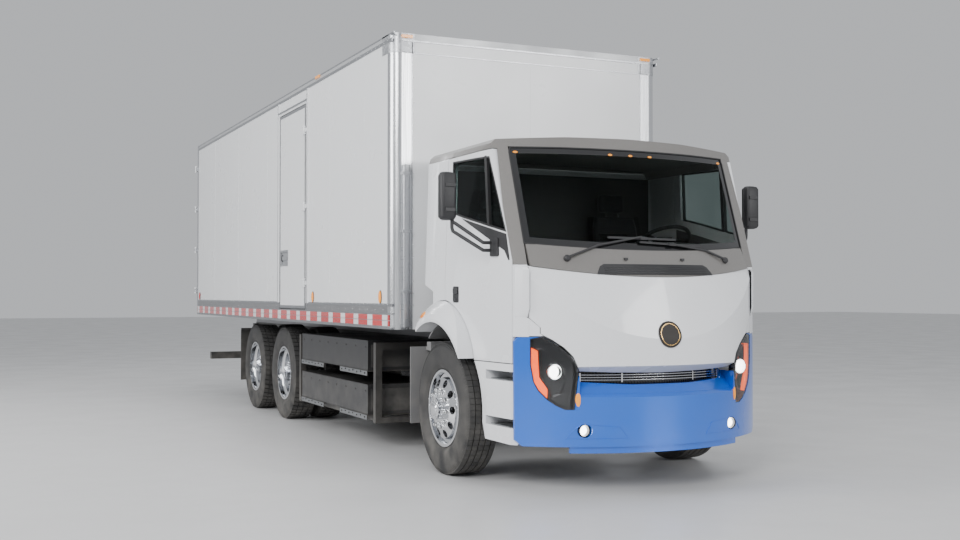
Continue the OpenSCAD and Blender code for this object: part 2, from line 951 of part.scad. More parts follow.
module wheel_liners() {
    color("gray") from_front_axle() both_sides() {
        difference() {
            intersection() {
                shaft_x(arch_radius + 14, liner_inner, cab_half_width - cab_skin - 8, arch_aft, hub_height);
                block([0, -470, hub_height + 470], [1400, 520, 1300]);
            }
            shaft_x(arch_radius, 0, 1400, arch_aft, hub_height);
        }
        block([liner_inner, flap_aft, flap_low], [cab_half_width + 75, flap_aft + 10, 960]);
        block([liner_inner, 560, 930], [cab_half_width - 60, flap_aft + 1, 960]);
        block([liner_inner, 490, 930], [cab_half_width - 60, 574, 1000]);
    }
}

// ---- doors ----

handle_aft = -150;
handle_height = 1388;

module door() {
    difference() {
        side_skin(0, cab_skin, door_outline(0));
        side_prism(window_outline(0), 800, 1300);
        side_disc(fender_radius + door_gap, arch_aft, fender_height, 900);
        block([cab_half_width - 18, handle_aft - 45, handle_height - 60],
            [1200, handle_aft + 45, handle_height + 60]);
    }
    side_skin(8, 34, division_bar(0));
}

module door_left() {
    color("white") from_front_axle() door();
}

module door_right() {
    color("white") from_front_axle() mirror([1, 0, 0]) door();
}

// ---- mirrors ----

mirror_x = 1352;
mirror_aft = -560;
mirror_low = 1925;
mirror_high = 2275;

module mirror_arm(height, low_end) {
    shaft_x(13, 1075, 1156, -740, height);
    arm_between([1144, -744, height - 3], [mirror_x - 36, -572, low_end + 3]);
    shaft_z(13, mirror_x - 40, -575, low_end - 8, mirror_low + 40);
}

// A straight tube between two points
module arm_between(from, to, radius = 13) {
    d = to - from;
    run = sqrt(d[0] * d[0] + d[1] * d[1]);
    translate(from) rotate([0, atan2(run, d[2]), atan2(d[1], d[0])])
        cylinder(r = radius, h = norm(d), $fn = 32);
}

module mirror_unit() {
    difference() {
        block([cab_half_width - 60, -800, 1668], [cab_half_width + 6, -700, 1790]);
        cab_sides(-1);
    }
    mirror_arm(1760, 1880);
    mirror_arm(1705, 1812);
    block([mirror_x - 62, mirror_aft - 62, mirror_low], [mirror_x + 62, mirror_aft + 28, mirror_high]);
}

module mirror_left() {
    color("black") from_front_axle() mirror_unit();
}

module mirror_right() {
    color("black") from_front_axle() mirror([1, 0, 0]) mirror_unit();
}

// ---- wipers ----

module wiper(pivot, elbow, tip) {
    arm_between(pivot, elbow, 11);
    arm_between(elbow, tip, 8);
}

module wipers() {
    color("black") from_front_axle() {
        wiper([-675, -1172, 1640], [-330, -1210, 1790], [120, -1195, 1760]);
        wiper([675, -1172, 1640], [400, -1205, 1720], [-60, -1222, 1700]);
    }
}

// ---- cab interior ----

seat_x = 560;
seat_half = 250;
seat_base_top = 1330;

module seat() {
    block([seat_x - 180, -250, cab_floor], [seat_x + 180, 150, seat_base_top]);
    block([seat_x - seat_half, -330, seat_base_top], [seat_x + seat_half, 200, seat_base_top + 120]);
    side_prism([[110, seat_base_top + 121], [240, seat_base_top + 121], [340, 2080], [240, 2080]],
        seat_x - seat_half, seat_x + seat_half);
    side_prism([[255, 2081], [345, 2081], [360, 2260], [280, 2260]], seat_x - 140, seat_x + 140);
}

module seats() {
    color("dimgray") from_front_axle() both_sides() seat();
}

wheel_centre = [seat_x, -470, 1800];
wheel_tilt = 32;
steering_ring = 225;
column_radius = 30;

module dashboard() {
    color("dimgray") from_front_axle() {
        intersection() {
            side_prism([[-1110, 1680], [-1110, 1600], [-935, 1580], [-935, 1250], [-760, 1250], [-620, 1560],
                [-600, 1690], [-700, 1712]], -960, 960);
            cab_sides(cab_skin + 8);
            windshield_barrel(60);
        }
        translate(wheel_centre) rotate([-wheel_tilt, 0, 0]) translate([0, 0, -420])
            cylinder(r = column_radius, h = 370);
    }
}

module steering_wheel() {
    color("black") from_front_axle() translate(wheel_centre) rotate([-wheel_tilt, 0, 0]) {
        rotate_extrude() translate([steering_ring, 0]) circle(r = 15, $fn = 32);
        translate([0, 0, -45]) cylinder(r = 52, h = 50);
        for (turn = [0, 120, 240]) rotate([0, 0, turn + 90]) block([30, -16, -20], [steering_ring, 16, -8]);
    }
}

// ---- box ----

post_width = 177;
post_radius = 85;
post_depth = 110;
top_rail = 62;
roof_skin = 22;
floor_top = box_bottom + 148;
floor_skin = 36;
cross_sill_pitch = 400;
rear_frame_depth = 90;
rear_post_width = 75;
rear_header = 130;
rear_sill = 150;
side_low = box_bottom + side_rail_height;
side_high = box_top - top_rail;
side_front = box_front + post_depth;
side_rear = box_rear - rear_frame_depth;

module box_floor() {
    inner = half_box - wall_thickness;
    sill_bottom = frame_top + 1;
    sill_count = floor((side_rear - box_front - 300) / cross_sill_pitch);
    color("darkgray") from_front_axle() {
        block([-inner + 20, box_front + wall_thickness, floor_top - floor_skin],
            [inner - 20, side_front + 1, floor_top]);
        difference() {
            union() {
                block([-inner - 1, side_front, floor_top - floor_skin], [inner + 1, side_rear, floor_top]);
                both_sides()
                    block([inner, side_front, box_bottom], [half_box, side_rear, side_low - 0.5]);
            }
            side_opening(door_gap);
        }
        both_sides()
            block([rail_x - 75, box_front + 60, sill_bottom], [rail_x, side_rear, floor_top - floor_skin + 1]);
        for (i = [0:sill_count])
            block([-inner - 1, box_front + 180 + i * cross_sill_pitch, floor_top - floor_skin - 100],
                [inner + 1, box_front + 220 + i * cross_sill_pitch, floor_top - floor_skin + 1]);
    }
}

side_door_front = box_front + side_door_setback;
side_door_low = box_bottom + 140;
side_door_leaf = 28;

module side_opening(grow) {
    block([-half_box - 60, side_door_front - grow, side_door_low - grow],
        [-half_box + side_door_leaf + grow, side_door_front + side_door_width + grow,
            side_door_low + side_door_height + grow]);
}

module box_walls() {
    inner = half_box - wall_thickness;
    color("white") from_front_axle() {
        difference() {
            both_sides() block([inner, side_front, side_low], [half_box, side_rear, side_high]);
            side_opening(door_gap);
        }
        block([-half_box + post_width, box_front, box_bottom],
            [half_box - post_width, box_front + wall_thickness - 0.5, side_high]);
        for (height = side_hinge_heights) side_hinge_seat(height);
    }
}

// Rounded posts at the front corners of the box
module box_posts() {
    outer = half_box;
    color("silver") from_front_axle() both_sides() difference() {
        union() {
            block([outer - post_width + 0.5, box_front, box_bottom],
                [outer - post_radius, box_front + wall_thickness, side_high]);
            intersection() {
                shaft_z(post_radius, outer - post_radius, box_front + post_radius, box_bottom, side_high);
                block([outer - post_radius - 1, box_front, 0], [outer, box_front + post_radius, far]);
            }
            block([outer - wall_thickness, box_front + post_radius, box_bottom],
                [outer, side_front - 0.5, side_high]);
        }
        shaft_z(post_radius - wall_thickness, outer - post_radius, box_front + post_radius,
            box_bottom - 1, side_high + 1);
        block([outer - post_radius - 40, box_front + wall_thickness, box_bottom - 1],
            [outer - wall_thickness, box_front + post_radius + 60, side_high + 1]);
    }
}

module box_roof() {
    low = side_high + 0.5;
    color("gray") from_front_axle() difference() {
        intersection() {
            block([-half_box, box_front, low], [half_box, side_rear - 0.5, box_top]);
            union() {
                block([-half_box, box_front + post_radius, 0], [half_box, box_rear, far]);
                block([-half_box + post_radius, box_front, 0], [half_box - post_radius, box_rear, far]);
                both_sides()
                    shaft_z(post_radius, half_box - post_radius, box_front + post_radius, low - 10, box_top + 10);
            }
        }
        block([-half_box + wall_thickness + 12, box_front + wall_thickness + 12, low - 1],
            [half_box - wall_thickness - 12, side_rear + 1, box_top - roof_skin]);
    }
}

module rear_frame() {
    color("silver") from_front_axle() {
        difference() {
            block([-half_box, side_rear + 0.5, box_bottom], [half_box, box_rear, box_top]);
            block([-half_box + rear_post_width, side_rear - 1, box_bottom + rear_sill],
                [half_box - rear_post_width, box_rear + 1, box_top - rear_header]);
        }
        both_sides() for (height = rear_hinge_heights)
            frame_hinge(rear_hinge_x, rear_hinge_aft, height, [half_box - rear_door_edge + 6, box_rear - 1]);
    }
}

// ---- hinges with their pins ----

pin_radius = 6;
knuckle_radius = 12;
knuckle_half = 20;
leaf_knuckle = 24;
knuckle_gap = 1;

// The fixed knuckle in the middle, and the pin that stands out of it
module frame_hinge(x, aft, height, root) {
    reach = knuckle_half + leaf_knuckle + 4;
    shaft_z(pin_radius, x, aft, height - reach, height + reach);
    shaft_z(knuckle_radius, x, aft, height - knuckle_half, height + knuckle_half);
    block([root[0], root[1], height - knuckle_half], [x, aft, height + knuckle_half]);
}

// The two moving knuckles
module leaf_hinge(x, aft, height, strap_x, strap_aft, strap_thickness) {
    for (low = [height - knuckle_half - knuckle_gap - leaf_knuckle, height + knuckle_half + knuckle_gap])
        difference() {
            union() {
                shaft_z(knuckle_radius, x, aft, low, low + leaf_knuckle);
                block([x - knuckle_radius, aft, low],
                    [x + knuckle_radius - 4, strap_aft + strap_thickness, low + leaf_knuckle]);
                block([strap_x, strap_aft, low], [x, strap_aft + strap_thickness, low + leaf_knuckle]);
            }
            shaft_z(pin_radius + shaft_gap, x, aft, low - 1, low + leaf_knuckle + 1);
        }
}

rear_door_low = box_bottom + 110;
rear_door_high = box_top - 95;
rear_door_edge = 12;
rear_door_meet = 4;
rear_hinge_x = half_box + 22;
rear_hinge_aft = box_rear + 20;
rear_hinge_pitch = (rear_door_high - rear_door_low - 480) / 3;
rear_hinge_heights = [for (i = [0:3]) rear_door_low + 240 + i * rear_hinge_pitch];
lock_rod_radius = 13;
lock_rod_x = 330;

module rear_door() {
    inner_face = box_rear + rear_door_gap;
    outer_face = inner_face + rear_door_thickness;
    rod_aft = outer_face + lock_rod_proud - lock_rod_radius;
    block([rear_door_meet, inner_face, rear_door_low], [half_box - rear_door_edge, outer_face, rear_door_high]);
    for (height = rear_hinge_heights)
        leaf_hinge(rear_hinge_x, rear_hinge_aft, height, half_box - 170, outer_face - 0.5, 7);
    shaft_z(lock_rod_radius, lock_rod_x, rod_aft, rear_door_low + 20, rear_door_high - 20);
    for (height = [rear_door_low + 120, rear_door_low + 700, rear_door_low + 1500, rear_door_high - 120])
        block([lock_rod_x - 30, outer_face - 1, height - 25], [lock_rod_x + 30, rod_aft, height + 25]);
    block([lock_rod_x - 14, rod_aft - 8, rear_door_low + 560],
        [lock_rod_x + 300, rod_aft + 8, rear_door_low + 600]);
}

module rear_door_left() {
    color("white") from_front_axle() rear_door();
}

module rear_door_right() {
    color("white") from_front_axle() mirror([1, 0, 0]) rear_door();
}

side_hinge_x = -half_box - 16;
side_hinge_aft = side_door_front - 10;
side_hinge_heights = [side_door_low + 270, side_door_low + side_door_height / 2,
    side_door_low + side_door_height - 270];

// The fixed half of one of the side door's hinges, on the wall ahead of the door
module side_hinge_seat(height) {
    reach = knuckle_half + leaf_knuckle + 4;
    low = height - knuckle_half;
    high = height + knuckle_half;
    shaft_z(pin_radius, side_hinge_x, side_hinge_aft, height - reach, height + reach);
    shaft_z(knuckle_radius, side_hinge_x, side_hinge_aft, low, high);
    block([-half_box - 7, side_hinge_aft - 70, low], [-half_box + 1, side_hinge_aft - 8, high]);
    block([side_hinge_x, side_hinge_aft - knuckle_radius, low], [-half_box + 1, side_hinge_aft - 1, high]);
}

// The moving knuckles of one of those hinges, and the strap on the leaf
module side_hinge_leaf(height) {
    for (low = [height - knuckle_half - knuckle_gap - leaf_knuckle, height + knuckle_half + knuckle_gap])
        difference() {
            union() {
                shaft_z(knuckle_radius, side_hinge_x, side_hinge_aft, low, low + leaf_knuckle);
                block([side_hinge_x - 6, side_hinge_aft, low],
                    [side_hinge_x + 6, side_hinge_aft + 40, low + leaf_knuckle]);
                block([side_hinge_x - 6, side_hinge_aft + 26, low],
                    [-half_box + 1, side_hinge_aft + 70, low + leaf_knuckle]);
            }
            shaft_z(pin_radius + shaft_gap, side_hinge_x, side_hinge_aft, low - 1, low + leaf_knuckle + 1);
        }
}

module side_door() {
    face = -half_box;
    rear = side_door_front + side_door_width;
    color("white") from_front_axle() {
        difference() {
            block([face, side_door_front, side_door_low],
                [face + side_door_leaf, rear, side_door_low + side_door_height]);
            block([face - 1, rear - 340, side_door_low + 470], [face + 14, rear - 40, side_door_low + 620]);
        }
        for (height = side_hinge_heights) side_hinge_leaf(height);
    }
}

// ---- rear guard and flaps ----

guard_low = 450;
guard_high = 550;
guard_aft = box_rear - 150;

module rear_guard() {
    color("dimgray") from_front_axle() {
        block([-1120, guard_aft - 50, guard_low], [1120, guard_aft + 50, guard_high]);
        both_sides() {
            block([rail_x + 1, guard_aft - 40, guard_high - 1],
                [rail_x + 61, guard_aft + 40, frame_top - 20]);
            block([640, axle_aft[1] + 640, 300], [1215, axle_aft[1] + 650, 960]);
            block([rail_x + 1, axle_aft[1] + 620, 930], [1215, axle_aft[1] + 641, 960]);
        }
    }
}

// ---- the assembly ----

module on_axle(index) {
    from_front_axle() translate([0, axle_aft[index], 0]) children();
}

tyre_black = "dimgray";
bright_metal = "silver";

chassis_frame();
front_axle();
suspension();
knuckle_left();
knuckle_right();
tie_rod();
drive_axles();
drive_motor();
battery_packs();
battery_racks();
color(tyre_black) from_front_axle() tyre(front_tyre_x);  // front_tyre_left
color(tyre_black) from_front_axle() tyre(-front_tyre_x);  // front_tyre_right
color(bright_metal) from_front_axle() front_wheel();  // front_wheel_left
color(bright_metal) from_front_axle() mirror([1, 0, 0]) front_wheel();  // front_wheel_right
color(tyre_black) on_axle(0) twin_tyres();  // forward_twin_tyres_left
color(tyre_black) on_axle(0) mirror([1, 0, 0]) twin_tyres();  // forward_twin_tyres_right
color(bright_metal) on_axle(0) twin_wheels();  // forward_twin_wheels_left
color(bright_metal) on_axle(0) mirror([1, 0, 0]) twin_wheels();  // forward_twin_wheels_right
color(tyre_black) on_axle(1) twin_tyres();  // aft_twin_tyres_left
color(tyre_black) on_axle(1) mirror([1, 0, 0]) twin_tyres();  // aft_twin_tyres_right
color(bright_metal) on_axle(1) twin_wheels();  // aft_twin_wheels_left
color(bright_metal) on_axle(1) mirror([1, 0, 0]) twin_wheels();  // aft_twin_wheels_right
cab_shell();
cab_roof();
windshield();
cowl();
front_panel();
grille();
bumper();
headlights();
fenders();
step_panels();
wheel_liners();
door_left();
door_right();
door_glass_left();
door_glass_right();
mirror_left();
mirror_right();
wipers();
seats();
dashboard();
steering_wheel();
box_floor();
box_walls();
box_posts();
box_roof();
rear_frame();
side_door();
rear_door_left();
rear_door_right();
rear_guard();
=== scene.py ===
"""Looks of a three-axle electric box truck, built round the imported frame."""
import math

import bmesh
import bpy
from mathutils import Matrix, Vector

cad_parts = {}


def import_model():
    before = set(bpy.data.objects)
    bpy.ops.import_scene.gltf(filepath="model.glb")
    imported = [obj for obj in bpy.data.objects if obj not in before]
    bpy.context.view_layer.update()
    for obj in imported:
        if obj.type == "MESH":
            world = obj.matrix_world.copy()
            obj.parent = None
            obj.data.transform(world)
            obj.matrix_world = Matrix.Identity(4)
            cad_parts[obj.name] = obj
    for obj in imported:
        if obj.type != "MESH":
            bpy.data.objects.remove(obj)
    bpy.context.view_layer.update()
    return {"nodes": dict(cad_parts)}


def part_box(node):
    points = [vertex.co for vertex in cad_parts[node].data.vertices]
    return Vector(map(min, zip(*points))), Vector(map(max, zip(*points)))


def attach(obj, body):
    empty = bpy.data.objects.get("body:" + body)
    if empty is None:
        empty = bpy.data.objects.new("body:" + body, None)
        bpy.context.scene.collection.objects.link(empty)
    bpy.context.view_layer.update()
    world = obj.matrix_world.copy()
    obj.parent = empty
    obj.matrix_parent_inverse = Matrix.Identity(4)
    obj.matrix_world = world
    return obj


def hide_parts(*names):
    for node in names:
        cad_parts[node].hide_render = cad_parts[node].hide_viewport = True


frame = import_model()
NODES = frame["nodes"]

# ---- places: millimetres, x to the driver's side, y aft of the front axle, z above the road ----

MM = 0.001
AXLE_Y = sum(corner.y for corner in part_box("front_tyre_left")) / 2


def place(node):
    """Lowest and highest corner of a CAD node."""
    return [Vector((c.x / MM, (c.y - AXLE_Y) / MM, c.z / MM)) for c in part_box(node)]


def world(point):
    """A place in the row frame."""
    return Vector((point[0] * MM, AXLE_Y + point[1] * MM, point[2] * MM))


CAB = place("cab_shell")
WALLS = place("box_walls")
POSTS = place("box_posts")
BOX_ROOF = place("box_roof")
SIDE_DOOR = place("side_door")
TYRE = place("front_tyre_left")
BUMPER = place("bumper")
CAB_HALF = CAB[1].x
BOX_HALF = POSTS[1].x
BOX_FRONT = POSTS[0].y
BOX_REAR = place("rear_door_left")[0].y - 5
BOX_LOW = POSTS[0].z
BOX_TOP = BOX_ROOF[1].z
RAIL_TOP = place("box_floor")[1].z + 0.5
HUB_Z = (TYRE[0].z + TYRE[1].z) / 2
NOSE_Y = BUMPER[0].y
KERB = -1
DRIVER = 1
SIDES = ((DRIVER, "left"), (KERB, "right"))


def barrel(aft, height, lean, bend):
    """An upright barrel leaning back by some degrees, as a surface of x, height and distance out of it."""
    sine = math.sin(math.radians(lean))
    cosine = math.cos(math.radians(lean))

    def surface(x, z, out=0.0):
        depth = bend - math.sqrt((bend + out) ** 2 - x * x)
        slant = (z - height + depth * sine) / cosine
        return Vector((x, aft + depth * cosine + slant * sine, z))

    return surface


nose = barrel(NOSE_Y, 890, 0, 1500)
hood = barrel(-1295, 1510, 16, 2300)
cowl = barrel(-1295, 1510, 30, 3070)
windshield = barrel(-900, 2420, 19.7, 3190)
turn_under = barrel(NOSE_Y, 890, -65, 3550)
shelf = barrel(NOSE_Y, 675, 50, 1500 / math.cos(math.radians(50)))


def front_panel(x, z, out=0.0):
    """The white panel: whichever of its three bends lies furthest aft."""
    return max((bend(x, z, out) for bend in (nose, hood, turn_under)), key=lambda p: p.y)


def bumper_face(x, z, out=0.0):
    """The bumper, with its shelf between the lamps."""
    if abs(x) > 650:
        return nose(x, z, out)
    return max((nose(x, z, out), shelf(x, z, out)), key=lambda p: p.y)


def cab_side(aft, z, out=0.0):
    """The side of the cab, leaning in above the belt and narrowing towards the front."""
    lean = 30 * max(0.0, z - 1470) / 970
    taper = 70 * max(0.0, -100 - aft) / 900
    return Vector((CAB_HALF - max(lean, taper) + out, aft, z))


def box_side(aft, z, out=0.0):
    """The flat side of the box."""
    return Vector((BOX_HALF + out, aft, z))


def box_tail(x, z, out=0.0):
    """The flat rear of the box."""
    return Vector((x, BOX_REAR + out, z))


# ---- meshes ----


def turns(count):
    """Angles evenly spaced round a circle."""
    return [2 * math.pi * i / count for i in range(count)]


def oval(centre, half_wide, half_tall, steps):
    """Points round an oval, as pairs."""
    return [(centre[0] + half_wide * math.cos(t), centre[1] + half_tall * math.sin(t)) for t in turns(steps)]


def circle(radius, steps, start=0.0):
    """Points round a circle, as pairs."""
    angles = [start + 2 * math.pi * i / steps for i in range(steps)]
    return [(radius * math.cos(angle), radius * math.sin(angle)) for angle in angles]


def rounded(low, high, radius, steps=4):
    """A rectangle with round corners, as pairs."""
    corners = [(high[0], high[1], 0), (low[0], high[1], 1), (low[0], low[1], 2), (high[0], low[1], 3)]
    outline = []
    for u, v, quarter in corners:
        centre_u = u - radius if quarter in (0, 3) else u + radius
        centre_v = v - radius if quarter in (0, 1) else v + radius
        for i in range(steps + 1):
            turn = math.pi / 2 * (quarter + i / steps)
            outline.append((centre_u + radius * math.cos(turn), centre_v + radius * math.sin(turn)))
    return outline


def densify(path, step, closed):
    """The same path with no stretch longer than the step."""
    ends = path[1:] + path[:1] if closed else path[1:]
    dense = []
    for start, end in zip(path, ends):
        count = max(1, math.ceil(math.dist(start, end) / step))
        for i in range(count):
            dense.append(tuple(a + (b - a) * i / count for a, b in zip(start, end)))
    if not closed:
        dense.append(tuple(path[-1]))
    return dense


def shifted(path, distance, closed):
    """The flat path moved sideways, with mitred corners."""
    moved = []
    count = len(path)
    for i, point in enumerate(path):
        before = path[i - 1] if closed or i > 0 else point
        after = path[(i + 1) % count] if closed or i < count - 1 else point
        into = Vector(point) - Vector(before)
        out_of = Vector(after) - Vector(point)
        into = into.normalized() if into.length > 1e-9 else out_of.normalized()
        out_of = out_of.normalized() if out_of.length > 1e-9 else into
        side = Vector((-(into.y + out_of.y), into.x + out_of.x))
        side = side.normalized() if side.length > 1e-6 else Vector((-into.y, into.x))
        mitre = max(0.4, side.dot(Vector((-into.y, into.x))))
        moved.append(tuple(Vector(point) + side * distance / mitre))
    return moved


class Piece:
    """One visible piece, drawn in millimetres; side -1 draws it mirrored."""

    def __init__(self, name, body="root", side=1):
        self.name = name
        self.body = body
        self.side = side
        self.mesh = bmesh.new()
        self.finishes = []
        self.finish = 0

    def use(self, material):
        """What is drawn next has this material."""
        if material not in self.finishes:
            self.finishes.append(material)
        self.finish = self.finishes.index(material)
        return self

    def corner(self, point):
        return self.mesh.verts.new(world((point[0] * self.side, point[1], point[2])))

    def face(self, corners):
        made = self.mesh.faces.new(corners)
        made.material_index = self.finish
        return made

    def loft(self, rings, wrap=False):
        """Skin over rings of points, closed at both ends, or run round into a loop."""
        rows = [[self.corner(point) for point in ring] for ring in rings]
        pairs = list(zip(rows, rows[1:] + rows[:1])) if wrap else list(zip(rows, rows[1:]))
        for low, high in pairs:
            for i in range(len(low)):
                j = (i + 1) % len(low)
                self.face([low[i], low[j], high[j], high[i]])
        if not wrap:
            self.face(rows[0][::-1])
            self.face(rows[-1])
        return self

    def block(self, low, high):
        """A block between two corners."""
        ring = [(low[0], low[1]), (high[0], low[1]), (high[0], high[1]), (low[0], high[1])]
        return self.loft([[(u, v, z) for u, v in ring] for z in (low[2], high[2])])

    def slab(self, outline, axis, low, high):
        """A flat outline given along the other two axes, carried from low to high along one axis."""
        order = {"x": lambda a, u, v: (a, u, v),
                 "y": lambda a, u, v: (u, a, v),
                 "z": lambda a, u, v: (u, v, a)}
        return self.loft([[order[axis](a, u, v) for u, v in outline] for a in (low, high)])

    def tube(self, path, radius, steps=16, wrap=False):
        """A round bar along a path."""
        points = [Vector(point) for point in path]
        rings = []
        across = None
        for i, point in enumerate(points):
            before = points[i - 1] if wrap or i > 0 else point
            after = points[(i + 1) % len(points)] if wrap or i < len(points) - 1 else point
            ahead = (after - before).normalized()
            if across is None:
                across = ahead.orthogonal().normalized()
            across = (across - ahead * across.dot(ahead)).normalized()
            upward = ahead.cross(across)
            rings.append([point + across * u + upward * v for u, v in circle(radius, steps)])
        return self.loft(rings, wrap)

    def turned(self, profile, centre, axis, steps=48):
        """A closed profile of (radius, distance along the axis) turned about that axis."""
        ahead = Vector(axis).normalized()
        across = ahead.orthogonal().normalized()
        upward = ahead.cross(across)
        rings = []
        for u, v in circle(1, steps):
            out = across * u + upward * v
            rings.append([Vector(centre) + out * radius + ahead * along for radius, along in profile])
        return self.loft(rings, wrap=True)

    def cap(self, profile, centre, axis, steps=32):
        """A turned solid whose profile runs from the axis round to the axis again."""
        ahead = Vector(axis).normalized()
        across = ahead.orthogonal().normalized()
        upward = ahead.cross(across)
        rings = []
        for radius, along in profile:
            centre_here = Vector(centre) + ahead * along
            rings.append([centre_here + (across * u + upward * v) * radius for u, v in circle(1, steps)])
        return self.loft(rings)

    def plate(self, outline, surface, low, high, step=30):
        """A panel of that outline lying between two distances out of a surface."""
        flat = bmesh.new()
        flat.faces.new([flat.verts.new((u, v, 0)) for u, v in outline])
        for axis in (0, 1):
            values = [point[axis] for point in outline]
            normal = (1, 0, 0) if axis == 0 else (0, 1, 0)
            for cut in range(math.ceil(min(values) / step), math.floor(max(values) / step) + 1):
                middle = [component * cut * step for component in normal]
                everything = flat.verts[:] + flat.edges[:] + flat.faces[:]
                bmesh.ops.bisect_plane(flat, geom=everything, plane_co=middle, plane_no=normal)
        bmesh.ops.remove_doubles(flat, verts=flat.verts[:], dist=0.01)
        flat.verts.index_update()
        tops = [self.corner(surface(v.co.x, v.co.y, high)) for v in flat.verts]
        bottoms = [self.corner(surface(v.co.x, v.co.y, low)) for v in flat.verts]
        for part in flat.faces:
            numbers = [v.index for v in part.verts]
            self.face([tops[n] for n in numbers])
            self.face([bottoms[n] for n in reversed(numbers)])
        for edge in flat.edges:
            if edge.is_boundary:
                a, b = (v.index for v in edge.verts)
                self.face([tops[a], tops[b], bottoms[b], bottoms[a]])
        flat.free()
        return self

    def band(self, path, width, surface, low, high, closed=True, step=30):
        """A strip of even width along a path on a surface."""
        dense = densify(list(path), step, closed)
        left = shifted(dense, width / 2, closed)
        right = shifted(dense, -width / 2, closed)
        rings = []
        for a, b in zip(left, right):
            rings.append([surface(*a, low), surface(*a, high), surface(*b, high), surface(*b, low)])
        return self.loft(rings, wrap=closed)

    def make(self, bevel=0.0, slot=None, replaces=(), segments=2, angle=35):
        """Turns what was drawn into an object that rides its body."""
        bmesh.ops.recalc_face_normals(self.mesh, faces=self.mesh.faces[:])
        data = bpy.data.meshes.new(self.name)
        self.mesh.to_mesh(data)
        self.mesh.free()
        for material in self.finishes:
            data.materials.append(material)
        made = bpy.data.objects.new(self.name, data)
        bpy.context.scene.collection.objects.link(made)
        soften(made, bevel, segments, angle)
        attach(made, self.body)
        if replaces:
            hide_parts(*replaces)
        return made


def soften(made, bevel, segments=2, angle=35):
    """Rounds the sharp edges of an object and shades the rest smooth."""
    data = made.data
    data.shade_smooth()
    data.set_sharp_from_angle(angle=math.radians(angle))
    if bevel:
        edge = made.modifiers.new("rounded edges", "BEVEL")
        edge.width = bevel * MM
        edge.segments = segments
        edge.limit_method = "ANGLE"
        edge.angle_limit = math.radians(angle)
        edge.use_clamp_overlap = True
        edge.harden_normals = True


# ---- shared effects ----


class Wiring:
    """Adds nodes to a tree; a keyword names a socket, and a list fills sockets in order."""

    def __init__(self, tree):
        self.tree = tree

    def add(self, kind, values=(), settings=None, **inputs):
        node = self.tree.nodes.new(kind)
        for name, value in (settings or {}).items():
            setattr(node, name, value)
        for number, value in enumerate(values):
            self.join(node.inputs[number], value)
        for name, value in inputs.items():
            self.join(node.inputs[name.replace("_", " ")], value)
        return node

    def join(self, socket, value):
        if isinstance(value, bpy.types.NodeSocket):
            self.tree.links.new(value, socket)
        elif value is not None:
            socket.default_value = value

    def maths(self, operation, *values):
        return self.add("ShaderNodeMath", values, {"operation": operation}).outputs[0]

    def blend(self, factor, first, second):
        """One colour turning into another."""
        node = self.add("ShaderNodeMix", settings={"data_type": "RGBA"})
        for number, value in ((0, factor), (6, first), (7, second)):
            self.join(node.inputs[number], value)
        return node.outputs[2]

    def ramp(self, value, from_low, from_high, to_low=0.0, to_high=1.0):
        return self.add("ShaderNodeMapRange", (value, from_low, from_high, to_low, to_high)).outputs[0]

    def noise(self, where, scale, detail=3.0):
        return self.add("ShaderNodeTexNoise", Vector=where, Scale=scale, Detail=detail).outputs[0]


def effect(name, inputs, outputs, build):
    """A shader node group with named inputs (name: value) and outputs (name: kind)."""
    tree = bpy.data.node_groups.new(name, "ShaderNodeTree")
    kinds = {float: "NodeSocketFloat", tuple: "NodeSocketColor"}
    for key, value in inputs.items():
        socket = tree.interface.new_socket(key, in_out="INPUT", socket_type=kinds[type(value)])
        socket.default_value = value
    for key, kind in outputs.items():
        tree.interface.new_socket(key, in_out="OUTPUT", socket_type="NodeSocket" + kind)
    wiring = Wiring(tree)
    entry = tree.nodes.new("NodeGroupInput")
    results = build(wiring, entry.outputs)
    leave = tree.nodes.new("NodeGroupOutput")
    for key, value in results.items():
        wiring.join(leave.inputs[key], value)
    return tree


def object_place(wiring):
    return wiring.add("ShaderNodeTexCoord").outputs["Object"]


def build_surface(wiring, entry):
    """Patches of two tones, a roughness that varies with them, and a fine grain in relief."""
    where = object_place(wiring)
    patches = wiring.noise(where, wiring.maths("DIVIDE", 1.0, entry["Patch size"]), 4.0)
    broad = wiring.ramp(patches, 0.35, 0.65)
    grain = wiring.noise(where, wiring.maths("DIVIDE", 1.0, entry["Grain size"]), 2.0)
    tone = wiring.blend(broad, entry["Colour"], entry["Second colour"])
    rough = wiring.ramp(broad, 0.0, 1.0, entry["Roughness low"], entry["Roughness high"])
    relief = wiring.add("ShaderNodeBump", Strength=entry["Grain depth"], Distance=0.001, Height=grain)
    return {"Colour": tone, "Roughness": rough, "Normal": relief.outputs[0], "Grain": grain}


def build_dust(wiring, entry):
    """Road film that thickens towards the ground and gathers in patches."""
    where = object_place(wiring)
    height = wiring.add("ShaderNodeSeparateXYZ", (where,)).outputs[2]
    low_down = wiring.ramp(height, entry["Reach"], 0.15)
    patchy = wiring.ramp(wiring.noise(where, 7.0, 5.0), 0.3, 0.75)
    mask = wiring.maths("MULTIPLY", wiring.maths("MULTIPLY", low_down, patchy), entry["Amount"])
    return {"Colour": wiring.blend(mask, entry["Colour"], entry["Dust colour"]), "Mask": mask}


def build_flakes(wiring, entry):
    """Metal flakes in paint: small cells, each of its own brightness and tilt."""
    where = object_place(wiring)
    cells = wiring.add("ShaderNodeTexVoronoi", Vector=where, Scale=1400.0)
    single = wiring.add("ShaderNodeSeparateColor", (cells.outputs["Color"],)).outputs[0]
    sparkle = wiring.maths("MULTIPLY", single, entry["Sparkle"])
    tone = wiring.blend(sparkle, entry["Colour"], entry["Flake colour"])
    relief = wiring.add("ShaderNodeBump", Strength=entry["Tilt"], Distance=0.0002, Height=single)
    return {"Colour": tone, "Normal": relief.outputs[0]}


